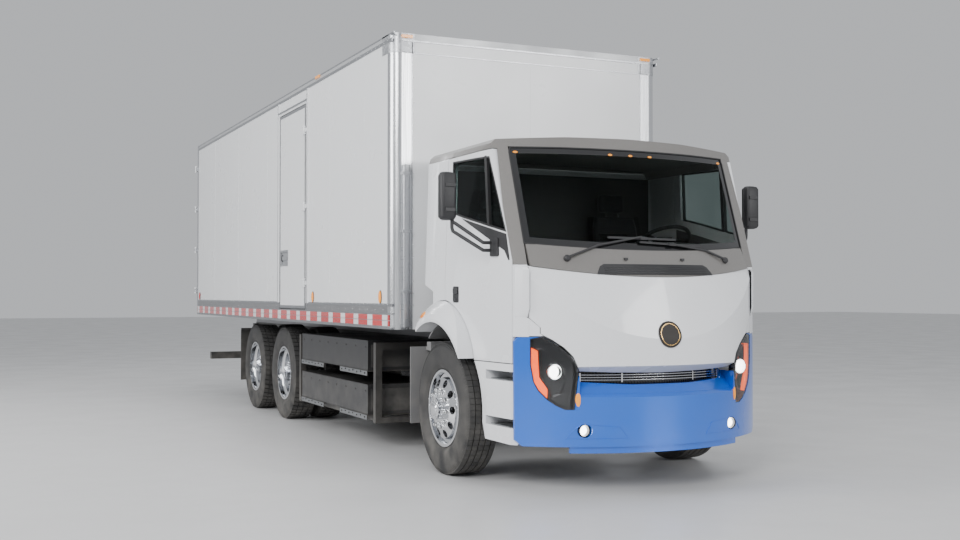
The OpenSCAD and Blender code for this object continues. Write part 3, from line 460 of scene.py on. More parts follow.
def build_spangle(wiring, entry):
    """The crystal pattern of galvanised steel."""
    where = object_place(wiring)
    scale = wiring.maths("DIVIDE", 1.0, entry["Cell size"])
    cells = wiring.add("ShaderNodeTexVoronoi", Vector=where, Scale=scale)
    single = wiring.add("ShaderNodeSeparateColor", (cells.outputs["Color"],)).outputs[0]
    tone = wiring.blend(single, entry["Colour"], entry["Second colour"])
    return {"Colour": tone, "Roughness": wiring.ramp(single, 0.0, 1.0, 0.28, 0.5)}


def build_brushing(wiring, entry):
    """Fine lines along one axis of brushed or rolled metal."""
    where = object_place(wiring)
    scales = (entry["Along x"], entry["Along y"], entry["Along z"])
    stretch = wiring.add("ShaderNodeCombineXYZ", scales).outputs[0]
    lines = wiring.add("ShaderNodeVectorMath", (where, stretch), {"operation": "MULTIPLY"}).outputs[0]
    streaks = wiring.noise(lines, 1.0, 4.0)
    relief = wiring.add("ShaderNodeBump", Strength=0.12, Distance=0.0005, Height=streaks)
    return {"Roughness": wiring.ramp(streaks, 0.3, 0.7, entry["Roughness low"], entry["Roughness high"]),
            "Normal": relief.outputs[0], "Streaks": streaks}


def build_weave(wiring, entry):
    """Crossed threads, as a height and a mask of the upper ones."""
    where = wiring.add("ShaderNodeSeparateXYZ", (object_place(wiring),)).outputs
    pitch = wiring.maths("DIVIDE", 6.2832, entry["Thread"])
    waves = [wiring.maths("SINE", wiring.maths("MULTIPLY", axis, pitch)) for axis in where]
    crossed = wiring.maths("MULTIPLY", wiring.maths("ADD", waves[1], waves[2]), waves[0])
    mask = wiring.ramp(crossed, -1.0, 1.0)
    relief = wiring.add("ShaderNodeBump", Strength=0.5, Distance=0.0006, Height=mask)
    tone = wiring.blend(mask, entry["Colour"], entry["Second colour"])
    return {"Colour": tone, "Normal": relief.outputs[0]}


SURFACE = effect("worn surface",
    {"Colour": (0.5, 0.5, 0.5, 1.0), "Second colour": (0.5, 0.5, 0.5, 1.0), "Patch size": 0.3,
     "Grain size": 0.001, "Grain depth": 0.1, "Roughness low": 0.3, "Roughness high": 0.5},
    {"Colour": "Color", "Roughness": "Float", "Normal": "Vector", "Grain": "Float"}, build_surface)
DUST = effect("road dust",
    {"Colour": (0.5, 0.5, 0.5, 1.0), "Dust colour": (0.30, 0.28, 0.25, 1.0), "Reach": 0.9, "Amount": 0.3},
    {"Colour": "Color", "Mask": "Float"}, build_dust)
FLAKES = effect("paint flakes",
    {"Colour": (0.5, 0.5, 0.5, 1.0), "Flake colour": (0.8, 0.8, 0.8, 1.0), "Sparkle": 0.3, "Tilt": 0.1},
    {"Colour": "Color", "Normal": "Vector"}, build_flakes)
SPANGLE = effect("zinc spangle",
    {"Colour": (0.5, 0.5, 0.5, 1.0), "Second colour": (0.6, 0.6, 0.6, 1.0), "Cell size": 0.02},
    {"Colour": "Color", "Roughness": "Float"}, build_spangle)
BRUSHING = effect("brushed lines",
    {"Along x": 20.0, "Along y": 20.0, "Along z": 20.0, "Roughness low": 0.1, "Roughness high": 0.3},
    {"Roughness": "Float", "Normal": "Vector", "Streaks": "Float"}, build_brushing)
WEAVE = effect("woven cloth",
    {"Colour": (0.1, 0.1, 0.1, 1.0), "Second colour": (0.2, 0.2, 0.2, 1.0), "Thread": 0.003},
    {"Colour": "Color", "Normal": "Vector"}, build_weave)


# ---- materials ----


def rgb(red, green, blue):
    return (red, green, blue, 1.0)


class Finish:
    """A material with one Principled shader, and the shared effects placed before it."""

    def __init__(self, name, **shader):
        self.material = bpy.data.materials.new(name)
        self.material.use_nodes = True
        tree = self.material.node_tree
        self.wiring = Wiring(tree)
        self.shader = tree.nodes["Principled BSDF"]
        for key, value in shader.items():
            self.shader.inputs[key.replace("_", " ")].default_value = value

    def place(self, group, **values):
        node = self.wiring.add("ShaderNodeGroup", settings={"node_tree": group})
        for key, value in values.items():
            self.wiring.join(node.inputs[key.replace("_", " ")], value)
        return node.outputs

    def feed(self, **sources):
        for key, source in sources.items():
            self.wiring.join(self.shader.inputs[key.replace("_", " ")], source)
        return self.material


def darker(colour, share):
    """A colour with its red, green and blue turned down."""
    return tuple(c * share for c in colour[:3]) + (1.0,)


def coated(name, colour, second, dust=0.0, reach=0.9, rough=(0.22, 0.3), grain=0.03, grain_size=0.004,
           **shader):
    """Paint or plastic: two close tones, a fine grain and some road dust."""
    finish = Finish(name, **shader)
    skin = finish.place(SURFACE, Colour=colour, Second_colour=second, Patch_size=0.7, Grain_size=grain_size,
                        Grain_depth=grain, Roughness_low=rough[0], Roughness_high=rough[1])
    film = finish.place(DUST, Colour=skin["Colour"], Amount=dust, Reach=reach)
    return finish.feed(Base_Color=film["Colour"], Roughness=skin["Roughness"], Normal=skin["Normal"])


def flaked(name, colour, flake, sparkle, rough, **shader):
    """Metallic paint under a clear coat."""
    finish = Finish(name, **shader)
    skin = finish.place(SURFACE, Colour=colour, Second_colour=darker(colour, 0.86),
                        Patch_size=1.1, Grain_size=0.006, Grain_depth=0.03,
                        Roughness_low=rough, Roughness_high=rough + 0.06)
    flakes = finish.place(FLAKES, Colour=skin["Colour"], Flake_colour=flake, Sparkle=sparkle, Tilt=0.06)
    film = finish.place(DUST, Colour=flakes["Colour"], Amount=0.1, Reach=0.7)
    return finish.feed(Base_Color=film["Colour"], Roughness=skin["Roughness"], Normal=flakes["Normal"])


def drawn_metal(name, colour, lines, rough, **shader):
    """Rolled, drawn or machined metal."""
    finish = Finish(name, Metallic=1.0, **shader)
    grain = finish.place(BRUSHING, Along_x=lines[0], Along_y=lines[1], Along_z=lines[2],
                         Roughness_low=rough[0], Roughness_high=rough[1])
    tone = finish.wiring.blend(grain["Streaks"], colour, darker(colour, 0.85))
    return finish.feed(Base_Color=tone, Roughness=grain["Roughness"], Normal=grain["Normal"])


def zinc(name, colour, second):
    finish = Finish(name, Metallic=0.85)
    cells = finish.place(SPANGLE, Colour=colour, Second_colour=second, Cell_size=0.018)
    film = finish.place(DUST, Colour=cells["Colour"], Amount=0.35, Reach=1.2)
    return finish.feed(Base_Color=film["Colour"], Roughness=cells["Roughness"])


def pane(name, tint, second, **shader):
    """Tinted glass with a faint film on it."""
    finish = Finish(name, Transmission_Weight=1.0, **shader)
    film = finish.place(SURFACE, Colour=tint, Second_colour=second, Patch_size=0.4, Grain_size=0.02,
                        Grain_depth=0.0, Roughness_low=0.0, Roughness_high=0.03)
    return finish.feed(Base_Color=film["Colour"], Roughness=film["Roughness"])


def glowing(name, colour, second, strength, **shader):
    """A lit lens, brighter and duller in fine cells."""
    finish = Finish(name, Emission_Strength=strength, **shader)
    skin = finish.place(SURFACE, Colour=colour, Second_colour=second, Patch_size=0.02, Grain_size=0.003,
                        Grain_depth=0.2, Roughness_low=0.08, Roughness_high=0.2)
    return finish.feed(Base_Color=skin["Colour"], Emission_Color=skin["Colour"], Roughness=skin["Roughness"],
                       Normal=skin["Normal"])


def cloth(name, colour, second, thread):
    finish = Finish(name, Roughness=0.85, Sheen_Weight=0.3, Sheen_Roughness=0.5)
    threads = finish.place(WEAVE, Colour=colour, Second_colour=second, Thread=thread)
    return finish.feed(Base_Color=threads["Colour"], Normal=threads["Normal"])


WHITE_PAINT = coated("white cab paint", rgb(0.80, 0.81, 0.83), rgb(0.77, 0.78, 0.80), dust=0.14, reach=0.8,
                     Coat_Weight=0.7, Coat_Roughness=0.05)
BOX_WHITE = coated("white box panel", rgb(0.80, 0.81, 0.82), rgb(0.77, 0.78, 0.79), dust=0.08, reach=1.5,
                   rough=(0.26, 0.36), Coat_Weight=0.4, Coat_Roughness=0.12)
BLUE_PAINT = flaked("blue bumper paint", rgb(0.004, 0.115, 0.66), rgb(0.02, 0.28, 0.98), 0.38, 0.2,
                    Metallic=0.35, Coat_Weight=1.0, Coat_Roughness=0.04)
GREY_PAINT = flaked("grey pillar paint", rgb(0.20, 0.19, 0.18), rgb(0.5, 0.48, 0.46), 0.4, 0.3,
                    Metallic=0.5, Coat_Weight=0.6, Coat_Roughness=0.1)
BLACK_PLASTIC = coated("moulded black plastic", rgb(0.018, 0.018, 0.02), rgb(0.03, 0.03, 0.032), dust=0.2,
                       rough=(0.42, 0.6), grain=0.35, grain_size=0.0012)
GLOSS_BLACK = coated("gloss black trim", rgb(0.008, 0.008, 0.009), rgb(0.014, 0.014, 0.015),
                     rough=(0.06, 0.12), Coat_Weight=1.0)
BADGE_BLACK = coated("badge disc", rgb(0.012, 0.009, 0.008), rgb(0.02, 0.015, 0.012), rough=(0.5, 0.62))
GREY_PLASTIC = coated("grey liner plastic", rgb(0.16, 0.16, 0.165), rgb(0.2, 0.2, 0.2), dust=0.5, reach=1.3,
                      rough=(0.5, 0.7), grain=0.4, grain_size=0.0015)
INNER_TRIM = coated("cab inner trim", rgb(0.07, 0.07, 0.072), rgb(0.085, 0.085, 0.085), rough=(0.55, 0.7),
                    grain=0.5, grain_size=0.0016)
PALE_TRIM = coated("cab roof lining", rgb(0.30, 0.29, 0.28), rgb(0.34, 0.33, 0.31), rough=(0.75, 0.9),
                   grain=0.5, grain_size=0.002)
FRAME_BLACK = coated("frame black paint", rgb(0.02, 0.02, 0.021), rgb(0.035, 0.034, 0.033), dust=0.45,
                     reach=1.3, rough=(0.35, 0.55), grain=0.15, grain_size=0.002)
BATTERY_BLACK = coated("battery case coating", rgb(0.012, 0.012, 0.013), rgb(0.022, 0.022, 0.023), dust=0.25,
                       reach=0.9, rough=(0.3, 0.42), grain=0.25, grain_size=0.0015)
RACK_PAINT = coated("rack paint", rgb(0.045, 0.043, 0.041), rgb(0.07, 0.066, 0.06), dust=0.4, reach=1.1,
                    rough=(0.35, 0.5), grain=0.2, grain_size=0.002, Metallic=0.3)
CAST_IRON = coated("cast iron", rgb(0.035, 0.034, 0.034), rgb(0.06, 0.055, 0.05), dust=0.6, reach=1.2,
                   rough=(0.55, 0.75), grain=0.7, grain_size=0.003, Metallic=0.4)
RUBBER = coated("tyre rubber", rgb(0.017, 0.017, 0.018), rgb(0.03, 0.03, 0.03), dust=0.35, reach=1.1,
                rough=(0.6, 0.8), grain=0.35, grain_size=0.0015)
SEAL = coated("rubber seal", rgb(0.012, 0.012, 0.013), rgb(0.02, 0.02, 0.021), rough=(0.45, 0.6),
              grain=0.2, grain_size=0.001)
FLOOR_MAT = coated("cab floor mat", rgb(0.02, 0.02, 0.021), rgb(0.035, 0.035, 0.036), rough=(0.7, 0.85),
                   grain=0.9, grain_size=0.004)
ROOF_GREY = coated("box roof skin", rgb(0.5, 0.51, 0.52), rgb(0.44, 0.45, 0.46), rough=(0.3, 0.5),
                   grain=0.1, grain_size=0.004, Metallic=0.4)
RED_TAPE = coated("red reflective tape", rgb(0.62, 0.012, 0.012), rgb(0.5, 0.01, 0.012), rough=(0.12, 0.2),
                  grain=0.5, grain_size=0.0025, Coat_Weight=0.8)
WHITE_TAPE = coated("white reflective tape", rgb(0.78, 0.79, 0.8), rgb(0.68, 0.69, 0.7), rough=(0.12, 0.2),
                    grain=0.5, grain_size=0.0025, Coat_Weight=0.8)
ALLOY = drawn_metal("polished wheel alloy", rgb(0.83, 0.84, 0.86), (260.0, 35.0, 35.0), (0.06, 0.16))
BRIGHT = drawn_metal("chromed nut", rgb(0.86, 0.87, 0.88), (60.0, 60.0, 60.0), (0.04, 0.1))
BRONZE = drawn_metal("bronze ring", rgb(0.62, 0.4, 0.16), (60.0, 60.0, 60.0), (0.22, 0.32))
POST_METAL = drawn_metal("bright box extrusion", rgb(0.74, 0.75, 0.77), (140.0, 140.0, 2.0), (0.18, 0.32))
RAIL_METAL = drawn_metal("box rail extrusion", rgb(0.5, 0.51, 0.53), (120.0, 1.5, 120.0), (0.25, 0.4))
TREAD_METAL = drawn_metal("step tread metal", rgb(0.34, 0.35, 0.36), (60.0, 60.0, 60.0), (0.3, 0.5))
MIRROR_GLASS = drawn_metal("mirror glass", rgb(0.9, 0.91, 0.92), (3.0, 3.0, 3.0), (0.0, 0.02))
GALVANISED = zinc("galvanised frame", rgb(0.42, 0.43, 0.45), rgb(0.56, 0.57, 0.59))
FLOOR_STEEL = zinc("box underframe", rgb(0.3, 0.3, 0.31), rgb(0.38, 0.38, 0.39))
WINDSCREEN = pane("tinted windscreen", rgb(0.50, 0.53, 0.52), rgb(0.46, 0.49, 0.48), IOR=1.1)
DOOR_PANE = pane("dark door glass", rgb(0.30, 0.36, 0.35), rgb(0.27, 0.33, 0.32), IOR=1.1)
CLEAR_LENS = pane("clear lamp cover", rgb(0.93, 0.94, 0.95), rgb(0.9, 0.91, 0.92), IOR=1.3)
WHITE_LIGHT = glowing("lit lamp", rgb(1.0, 0.98, 0.94), rgb(0.9, 0.9, 0.88), 9.0)
AMBER_GUIDE = glowing("amber light guide", rgb(1.0, 0.11, 0.0), rgb(0.9, 0.08, 0.0), 2.2, Coat_Weight=1.0)
AMBER_LENS = glowing("amber marker lens", rgb(0.95, 0.36, 0.02), rgb(0.8, 0.26, 0.01), 0.45, Coat_Weight=1.0)
RED_LENS = glowing("red lamp lens", rgb(0.55, 0.008, 0.008), rgb(0.4, 0.005, 0.006), 0.25, Coat_Weight=1.0)
SCREEN = glowing("instrument display", rgb(0.02, 0.05, 0.09), rgb(0.01, 0.02, 0.04), 0.6, Coat_Weight=1.0)
SEAT_CLOTH = cloth("seat cloth", rgb(0.028, 0.028, 0.031), rgb(0.06, 0.06, 0.065), 0.004)
SEAT_SIDE = cloth("seat side cloth", rgb(0.018, 0.018, 0.02), rgb(0.035, 0.035, 0.037), 0.0025)
BELT = cloth("seat belt webbing", rgb(0.02, 0.02, 0.02), rgb(0.05, 0.05, 0.05), 0.0015)
STUDIO_FLOOR = coated("studio floor", rgb(0.62, 0.62, 0.62), rgb(0.58, 0.58, 0.58), rough=(0.35, 0.5),
                      grain=0.1, grain_size=0.01)

NODE_FINISHES = {
    WHITE_PAINT: ["cab_shell", "front_panel", "fenders", "step_panels", "door_left", "door_right"],
    GREY_PAINT: ["cab_roof", "cowl"],
    WINDSCREEN: ["windshield"],
    DOOR_PANE: ["door_glass_left", "door_glass_right"],
    BLUE_PAINT: ["bumper"],
    GREY_PLASTIC: ["wheel_liners"],
    INNER_TRIM: ["dashboard"],
    BLACK_PLASTIC: ["steering_wheel"],
    FRAME_BLACK: ["chassis_frame", "suspension", "rear_guard"],
    CAST_IRON: ["front_axle", "knuckle_left", "knuckle_right", "tie_rod", "drive_axles"],
    BATTERY_BLACK: ["battery_packs"],
    RACK_PAINT: ["battery_racks"],
    POST_METAL: ["box_posts", "drive_motor"],
    BOX_WHITE: ["box_walls", "side_door", "rear_door_left", "rear_door_right"],
    ROOF_GREY: ["box_roof"],
    FLOOR_STEEL: ["box_floor"],
    GALVANISED: ["rear_frame"],
    ALLOY: [name for name in NODES if "wheel" in name and ("front_" in name or "twin_" in name)],
}
for material, names in NODE_FINISHES.items():
    for name in names:
        for slot in NODES[name].material_slots:
            slot.material = material

# ---- wheels ----


def tyre_profile(grooves):
    """Half of a tyre's outline, as (radius, distance from its middle plane)."""
    wall = [(288, 100), (300, 107), (311, 121), (318, 122), (330, 131), (352, 137), (386, 140), (425, 138),
            (455, 134), (470, 131), (474, 128), (488, 124), (494, 118), (496, 108)]
    return wall + [(495, grooves)]


def tyre(name, body, node, centres, side, ribs, pitches, gap, slant):
    """A tyre, or a pair, with its tread cut into blocks; ribs are half widths across the tread."""
    piece = Piece(name, body, side)
    piece.use(RUBBER)
    for centre in centres:
        half = tyre_profile(0)
        outline = half + [(radius, -along) for radius, along in reversed(half[:-1])]
        outline += [(284, -96), (284, 96)]
        piece.turned(outline, (centre.x, centre.y, HUB_Z), (1, 0, 0), 96)
        for low, high in ribs:
            for i in range(pitches):
                tread_block(piece, centre, low, high, i / pitches, (1 - gap) / pitches, slant)
        for i in range(pitches * 2):
            for sign in (-1, 1):
                shoulder_rib(piece, centre, sign, i / pitches / 2, 0.5 / pitches / 2)
    return piece.make(slot="tyre_rubber", replaces=[node])


def on_wheel(centre, turn, radius, along):
    """A place on a wheel, by its share of a turn from the top."""
    angle = 2 * math.pi * turn
    return Vector((centre.x + along, centre.y + radius * math.sin(angle), HUB_Z + radius * math.cos(angle)))


def tread_block(piece, centre, low, high, turn, span, slant):
    """One block of the tread, standing out of the carcass."""
    rings = []
    for along in (low, high):
        lean = slant * along / 1000
        crown = 510 - 4.0 * (abs(along) / 118) ** 3
        begin = turn + lean
        end = turn + span + lean
        corners = [(begin, 494), (end, 494), (end, crown), (begin, crown)]
        rings.append([on_wheel(centre, spot, radius, along) for spot, radius in corners])
    piece.loft(rings)


def shoulder_rib(piece, centre, sign, turn, span):
    """A short rib down the shoulder of the tyre."""
    foot = sign * 126.5
    head = sign * 116.0
    rings = []
    for spot in (turn, turn + span):
        corners = [(474, foot), (480, foot + sign * 2), (503, head + sign * 2), (500, head - sign * 6)]
        rings.append([on_wheel(centre, spot, radius, along) for radius, along in corners])
    piece.loft(rings)


def wheel_nut(piece, x, aft, z, outward):
    """A flanged nut on its stud, standing out along x."""
    piece.cap([(0.5, -1), (23, -1), (23, 3), (20, 6), (0.5, 6)], (x, aft, z), (outward, 0, 0), 20)
    piece.cap([(0.5, 5), (18, 5), (18, 24), (15, 28), (0.5, 28)], (x, aft, z), (outward, 0, 0), 6)
    piece.cap([(0.5, 20), (10, 20), (10, 36), (8, 38), (0.5, 38)], (x, aft, z), (outward, 0, 0), 12)


def wheel_fittings(name, body, aft, side, face, circle_radius, cap_x, cap_radius):
    """Nuts, hub cap, valve and balance of one outer wheel face."""
    piece = Piece(name, body, side)
    piece.use(BRIGHT)
    for u, v in circle(circle_radius, 10, 0.1):
        wheel_nut(piece, face, aft + u, HUB_Z + v, 1)
    centre = (cap_x, aft, HUB_Z)
    piece.use(ALLOY)
    piece.cap([(0.5, -20), (cap_radius, -20), (cap_radius, 0), (cap_radius - 5, 5), (cap_radius - 22, 6),
               (cap_radius - 26, 12), (cap_radius - 40, 15), (0.5, 16)], centre, (1, 0, 0), 48)
    for u, v in circle(cap_radius - 12, 8, 0.2):
        piece.cap([(0.5, 3), (6, 3), (6, 10), (0.5, 11)], (cap_x, aft + u, HUB_Z + v), (1, 0, 0), 6)
    rim = Vector((face, aft, HUB_Z))
    piece.turned([(circle_radius - 26, 0.5), (circle_radius + 25, 0.5), (circle_radius + 25, -3),
                  (circle_radius - 26, -3)], rim, (1, 0, 0), 64)
    piece.use(BRIGHT)
    piece.tube([(face - 30, aft + 236, HUB_Z + 60), (face - 12, aft + 228, HUB_Z + 58),
                (face + 8, aft + 214, HUB_Z + 55)], 4.5, 10)
    return piece.make(bevel=0.8, slot="wheel_alloy", segments=1)


STEER_RIBS = [(-118, -77), (-70, -28), (-21, 21), (28, 70), (77, 118)]
DRIVE_RIBS = [(-120, -66), (-56, -4), (4, 56), (66, 120)]


def wheels():
    for side, word in SIDES:
        low, high = place("front_tyre_" + word)
        centre = Vector((abs(low.x + high.x) / 2, (low.y + high.y) / 2, 0))
        tyre("steer_tyre_" + word, word + "_front_wheel", "front_tyre_" + word, [centre], side, STEER_RIBS,
             70, 0.06, 0.012)
        low, high = place("front_wheel_" + word)
        out = max(abs(low.x), abs(high.x))
        wheel_fittings("front_hub_" + word, word + "_front_wheel", centre.y, side, out - 52, 142, out, 76)
        for row in ("forward", "aft"):
            node = f"{row}_twin_tyres_{word}"
            low, high = place(node)
            near, far = sorted((abs(low.x), abs(high.x)))
            middle = (low.y + high.y) / 2
            centres = [Vector((near + 140, middle, 0)), Vector((far - 140, middle, 0))]
            tyre(f"{row}_drive_tyres_{word}", f"{word}_{row}_twin", node, centres, side, DRIVE_RIBS,
                 54, 0.2, 0.05)
            out = near + 478
            wheel_fittings(f"{row}_hub_{word}", f"{word}_{row}_twin", middle, side, near + 330, 142, out, 80)


# ---- cab front ----

LAMP_OUTLINE = [(942, 1079), (880, 1093), (817, 1059), (752, 1011), (704, 963), (667, 901), (655, 832),
                (668, 714), (680, 590), (741, 590), (794, 617), (846, 657), (898, 719), (925, 780),
                (942, 898)]
GUIDE = [(926, 1016), (892, 995), (884, 812), (836, 730), (838, 664), (881, 708), (910, 764), (926, 826)]
PROJECTOR = (788, 850)
EDGE_MARKER = (661, 659)
FOG = (618, 446)
FOG_COVER = [(736, 392), (684, 456), (637, 491), (384, 470), (326, 391)]
HOOD_LIP = [(945, 1225), (880, 1156), (880, 1114), (811, 1073), (740, 1018), (686, 956), (661, 894),
            (649, 854)]
BADGE_Z = 1107


def mirrored(path):
    """A half outline joined to its mirror image."""
    return path + [(-u, v) for u, v in reversed(path) if u != 0]


def headlamp(side, word):
    """A lamp bowl with its light guide, round projector, oval marker and clear cover."""
    piece = Piece("headlamp_" + word, "root", side)
    piece.use(GLOSS_BLACK)
    piece.plate(LAMP_OUTLINE, nose, -58, -52, 24)
    inner = shifted(LAMP_OUTLINE, 5, True)
    piece.band(inner, 9, nose, -56, -7, True, 24)
    bezel = [(876, 1004), (838, 996), (778, 950), (726, 868), (716, 770), (748, 690), (800, 672), (822, 736),
             (868, 818), (876, 930)]
    piece.band(bezel, 8, nose, -54, -30, True, 24)
    piece.use(AMBER_GUIDE)
    piece.plate(GUIDE, nose, -50, -16, 16)
    lamp_at(piece, PROJECTOR, 58, -50)
    piece.use(AMBER_LENS)
    for share, out in ((1.0, 4), (0.8, 7), (0.5, 8.5)):
        piece.plate(oval(EDGE_MARKER, 15 * share, 47 * share, 24), nose, -40, out, 20)
    piece.make(bevel=1.0, slot="lamp_lens", segments=1)
    cover = Piece("headlamp_cover_" + word, "root", side)
    cover.use(CLEAR_LENS)
    cover.plate(shifted(LAMP_OUTLINE, 1.5, True), nose, -6, -2.5, 20)
    return cover.make(slot="lamp_lens")


def lamp_at(piece, spot, radius, depth):
    """A round projector: a stepped bright bezel and a lit lens."""
    centre = nose(spot[0], spot[1], depth)
    piece.use(BRIGHT)
    piece.turned([(radius, 0), (radius, 26), (radius - 3, 30), (radius - 7, 30), (radius - 14, 12),
                  (radius - 16, 12), (radius - 16, 0)], centre, (0, -1, 0), 40)
    piece.use(WHITE_LIGHT)
    bright = radius - 15
    piece.cap([(0.5, 2), (bright, 2), (bright, 12), (bright * 0.8, 20), (bright * 0.4, 25), (0.5, 26)],
              centre, (0, -1, 0), 32)


def fog_lamp(side, word):
    """A fog lamp in its recessed bumper cover."""
    piece = Piece("fog_lamp_" + word, "root", side)
    centre = nose(FOG[0], FOG[1], -30)
    piece.use(GLOSS_BLACK)
    piece.turned([(44, -8), (44, 30), (39, 33), (33, 22), (31, 0), (31, -8)], centre, (0, -1, 0), 40)
    piece.use(WHITE_LIGHT)
    piece.cap([(0.5, -6), (31, -6), (31, 4), (24, 12), (12, 17), (0.5, 18)], centre, (0, -1, 0), 32)
    piece.use(BLUE_PAINT)
    piece.band(FOG_COVER, 5, nose, -4, 2.5, True, 20)
    return piece.make(bevel=1.0, slot="lamp_lens", segments=1)


def lamps():
    for side, word in SIDES:
        headlamp(side, word)
        fog_lamp(side, word)
    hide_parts("headlights")


def bumper_slot():
    """The mesh behind the slot between panel and bumper, with the bright bars before it."""
    piece = Piece("bumper_slot_mesh")
    piece.use(BLACK_PLASTIC)
    low, high = place("grille")
    across = high.x
    back = [(-across, low.z), (across, low.z), (across, high.z), (-across, high.z)]
    piece.plate(back, nose, -204, -198, 60)
    piece.use(GLOSS_BLACK)
    for row in range(12):
        height = low.z + 10 + row * 17
        piece.band([(-across, height), (across, height)], 5, nose, -198, -188, False, 40)
    for column in range(52):
        x = -across + 12 + column * (2 * across - 24) / 51
        piece.band([(x, low.z), (x, high.z)], 4, nose, -197, -190, False, 60)
    piece.make(slot="grille_black", replaces=["grille"])
    trim = Piece("bumper_slot_trim")
    trim.use(BRIGHT)
    for height in (786, 804, 822):
        trim.band([(-600, height), (600, height)], 4, nose, -150, -132, False, 40)
    for x in (-585, -300, 300, 585):
        trim.band([(x, 770), (x, 836)], 9, nose, -152, -130, False, 60)
    trim.make(bevel=0.8, slot="grille_black")


def panel_seams():
    """Lips, seams and the round badge blank of the cab front."""
    piece = Piece("front_panel_trim")
    piece.use(SEAL)
    for sign in (1, -1):
        path = [(sign * x, z) for x, z in HOOD_LIP]
        piece.band(path, 4, nose, -16, -8, False, 20)
    piece.use(BLUE_PAINT)
    piece.band([(-640, 700), (640, 700)], 5, bumper_face, -6, 1.5, False, 30)
    piece.use(WHITE_PAINT)
    for sign in (1, -1):
        corner = [(947, 1222), (886, 1160), (886, 1118), (866, 1099), (947, 1099)]
        piece.plate([(sign * x, z) for x, z in corner], front_panel, -20, -1, 20)
    piece.make(bevel=0.8, slot="cab_white", segments=1)
    badge = Piece("front_badge_disc")
    badge.use(BADGE_BLACK)
    centre = (0, BADGE_Z)
    badge.plate(oval(centre, 86, 86, 48), front_panel, -3, 7, 30)
    badge.band(oval(centre, 90, 90, 48), 7, front_panel, -3, 9, True, 40)
    badge.use(BRONZE)
    badge.band(oval(centre, 76, 76, 48), 6, front_panel, 5, 9, True, 40)
    badge.make(bevel=1.2, slot="grille_black")


def cowl_cover():
    """The dark cover in the middle of the cowl, its air slots and the washer jets."""
    piece = Piece("cowl_cover")
    piece.use(BLACK_PLASTIC)
    outline = [(-489, 1531), (489, 1531), (452, 1588), (420, 1604), (-420, 1604), (-452, 1588)]
    piece.plate(outline, cowl, -3, 7, 40)
    piece.use(GLOSS_BLACK)
    for row in range(4):
        height = 1545 + row * 13
        piece.band([(-430, height), (430, height)], 4, cowl, 5, 9, False, 40)
    piece.use(BLACK_PLASTIC)
    for x in (-240, 240):
        piece.block((x - 13, cowl(x, 1640).y - 16, 1634), (x + 13, cowl(x, 1640).y + 4, 1650))
    piece.make(bevel=1.5, slot="black_plastic")


def corner_vents(side, word):
    """The upright blade at a front corner of the cab, with its air slot open towards the middle and a black
    sheet in the slot as painted shade for the slot's dark inside.
    """
    piece = Piece("corner_vent_" + word, "root", side)
    # painted shade: a black sheet on the panel inside the air slot stands in for the shade in the open slot
    piece.use(BLACK_PLASTIC)
    piece.plate([(950, 1578), (990, 1578), (990, 1252), (950, 1222)], nose, -8, 1.0, 24)
    piece.use(WHITE_PAINT)
    front = [(956, 22), (972, 25), (992, 20), (1010, 9), (1022, 0)]
    back = [(1022, 0), (1010, 8), (992, 16), (972, 20), (958, 17)]
    rings = []
    for height, lift in ((1580, 0.0), (1560, 1.0), (1290, 1.0), (1232, 0.0)):
        outer = [nose(x, height, 1.5 + lift * out) for x, out in front]
        inner = [nose(x, height, lift * out - 4.5) for x, out in back]
        rings.append(outer + inner)
    piece.loft(rings)
    return piece.make(bevel=1.5, slot="cab_white")


# ---- glass and wipers ----


def foot_of_glass(x):
    """Height of the windshield's lower edge, which rises a little towards the corners."""
    return 1708 + 10000 - math.sqrt(10000 ** 2 - x * x)


def windshield_outline(inset):
    """The windshield's edge, drawn in by some distance."""
    high = place("windshield")[1]
    half = high.x - inset
    foot = [(x, foot_of_glass(x) + inset) for x in (half, half * 0.7, half * 0.4, 0)]
    side = [(half - 12, high.z - inset - 3), (half, high.z - inset - 40)]
    return mirrored([(0, high.z - inset), (half * 0.6, high.z - inset)] + side + foot)


def windshield_fittings():
    """Black border and seal of the windshield, and the five small lamps along its top."""
    border = Piece("windshield_border")
    border.use(GLOSS_BLACK)
    border.band(windshield_outline(24), 46, windshield, -6, -5, True, 40)
    border.use(SEAL)
    border.band(windshield_outline(-1), 9, windshield, -7, 1.5, True, 40)
    border.make(slot="black_plastic")
    marks = Piece("cab_marker_lamps")
    high = place("windshield")[1].z - 39
    for x in (-893, -173, 0, 173, 893):
        marks.use(AMBER_LENS)
        marks.plate(oval((x, high), 17, 8, 20), windshield, -6, -1, 20)
    marks.make(bevel=1.0, slot="lamp_lens")


def wiper(name, pivot_x, elbow, tip, blade_start, blade_end):
    """A wiper arm with its cap, the blade it carries and the small clips between them."""
    piece = Piece(name)
    pivot = cowl(pivot_x, 1640)
    piece.use(BLACK_PLASTIC)
    piece.cap([(0.5, -14), (24, -14), (24, 16), (16, 27), (0.5, 29)], pivot, (0, -0.87, 0.5), 28)
    arm_low = windshield(elbow[0], elbow[1], 26)
    arm_high = windshield(tip[0], tip[1], 20)
    piece.tube([pivot + Vector((0, -18, 10)), arm_low, arm_high], 8.5, 12)
    piece.use(SEAL)
    piece.band([blade_start, blade_end], 9, windshield, 1.5, 12, False, 60)
    piece.use(BLACK_PLASTIC)
    piece.band([blade_start, blade_end], 16, windshield, 11, 19, False, 60)
    middle = [(a + b) / 2 for a, b in zip(blade_start, blade_end)]
    along = (Vector(blade_end) - Vector(blade_start)).normalized() * 30
    piece.band([Vector(middle) - along, Vector(middle) + along], 22, windshield, 12, 27, False, 60)
    return piece.make(bevel=1.5, slot="black_plastic")


def wipers():
    wiper("wiper_kerb_side", -675, (-420, 1740), (-60, 1806), (-330, 1798), (240, 1790))
    driver = wiper("wiper_driver_side", 675, (500, 1716), (190, 1756), (470, 1742), (-80, 1768))
    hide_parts("wipers")


# ---- doors and sides of the cab ----

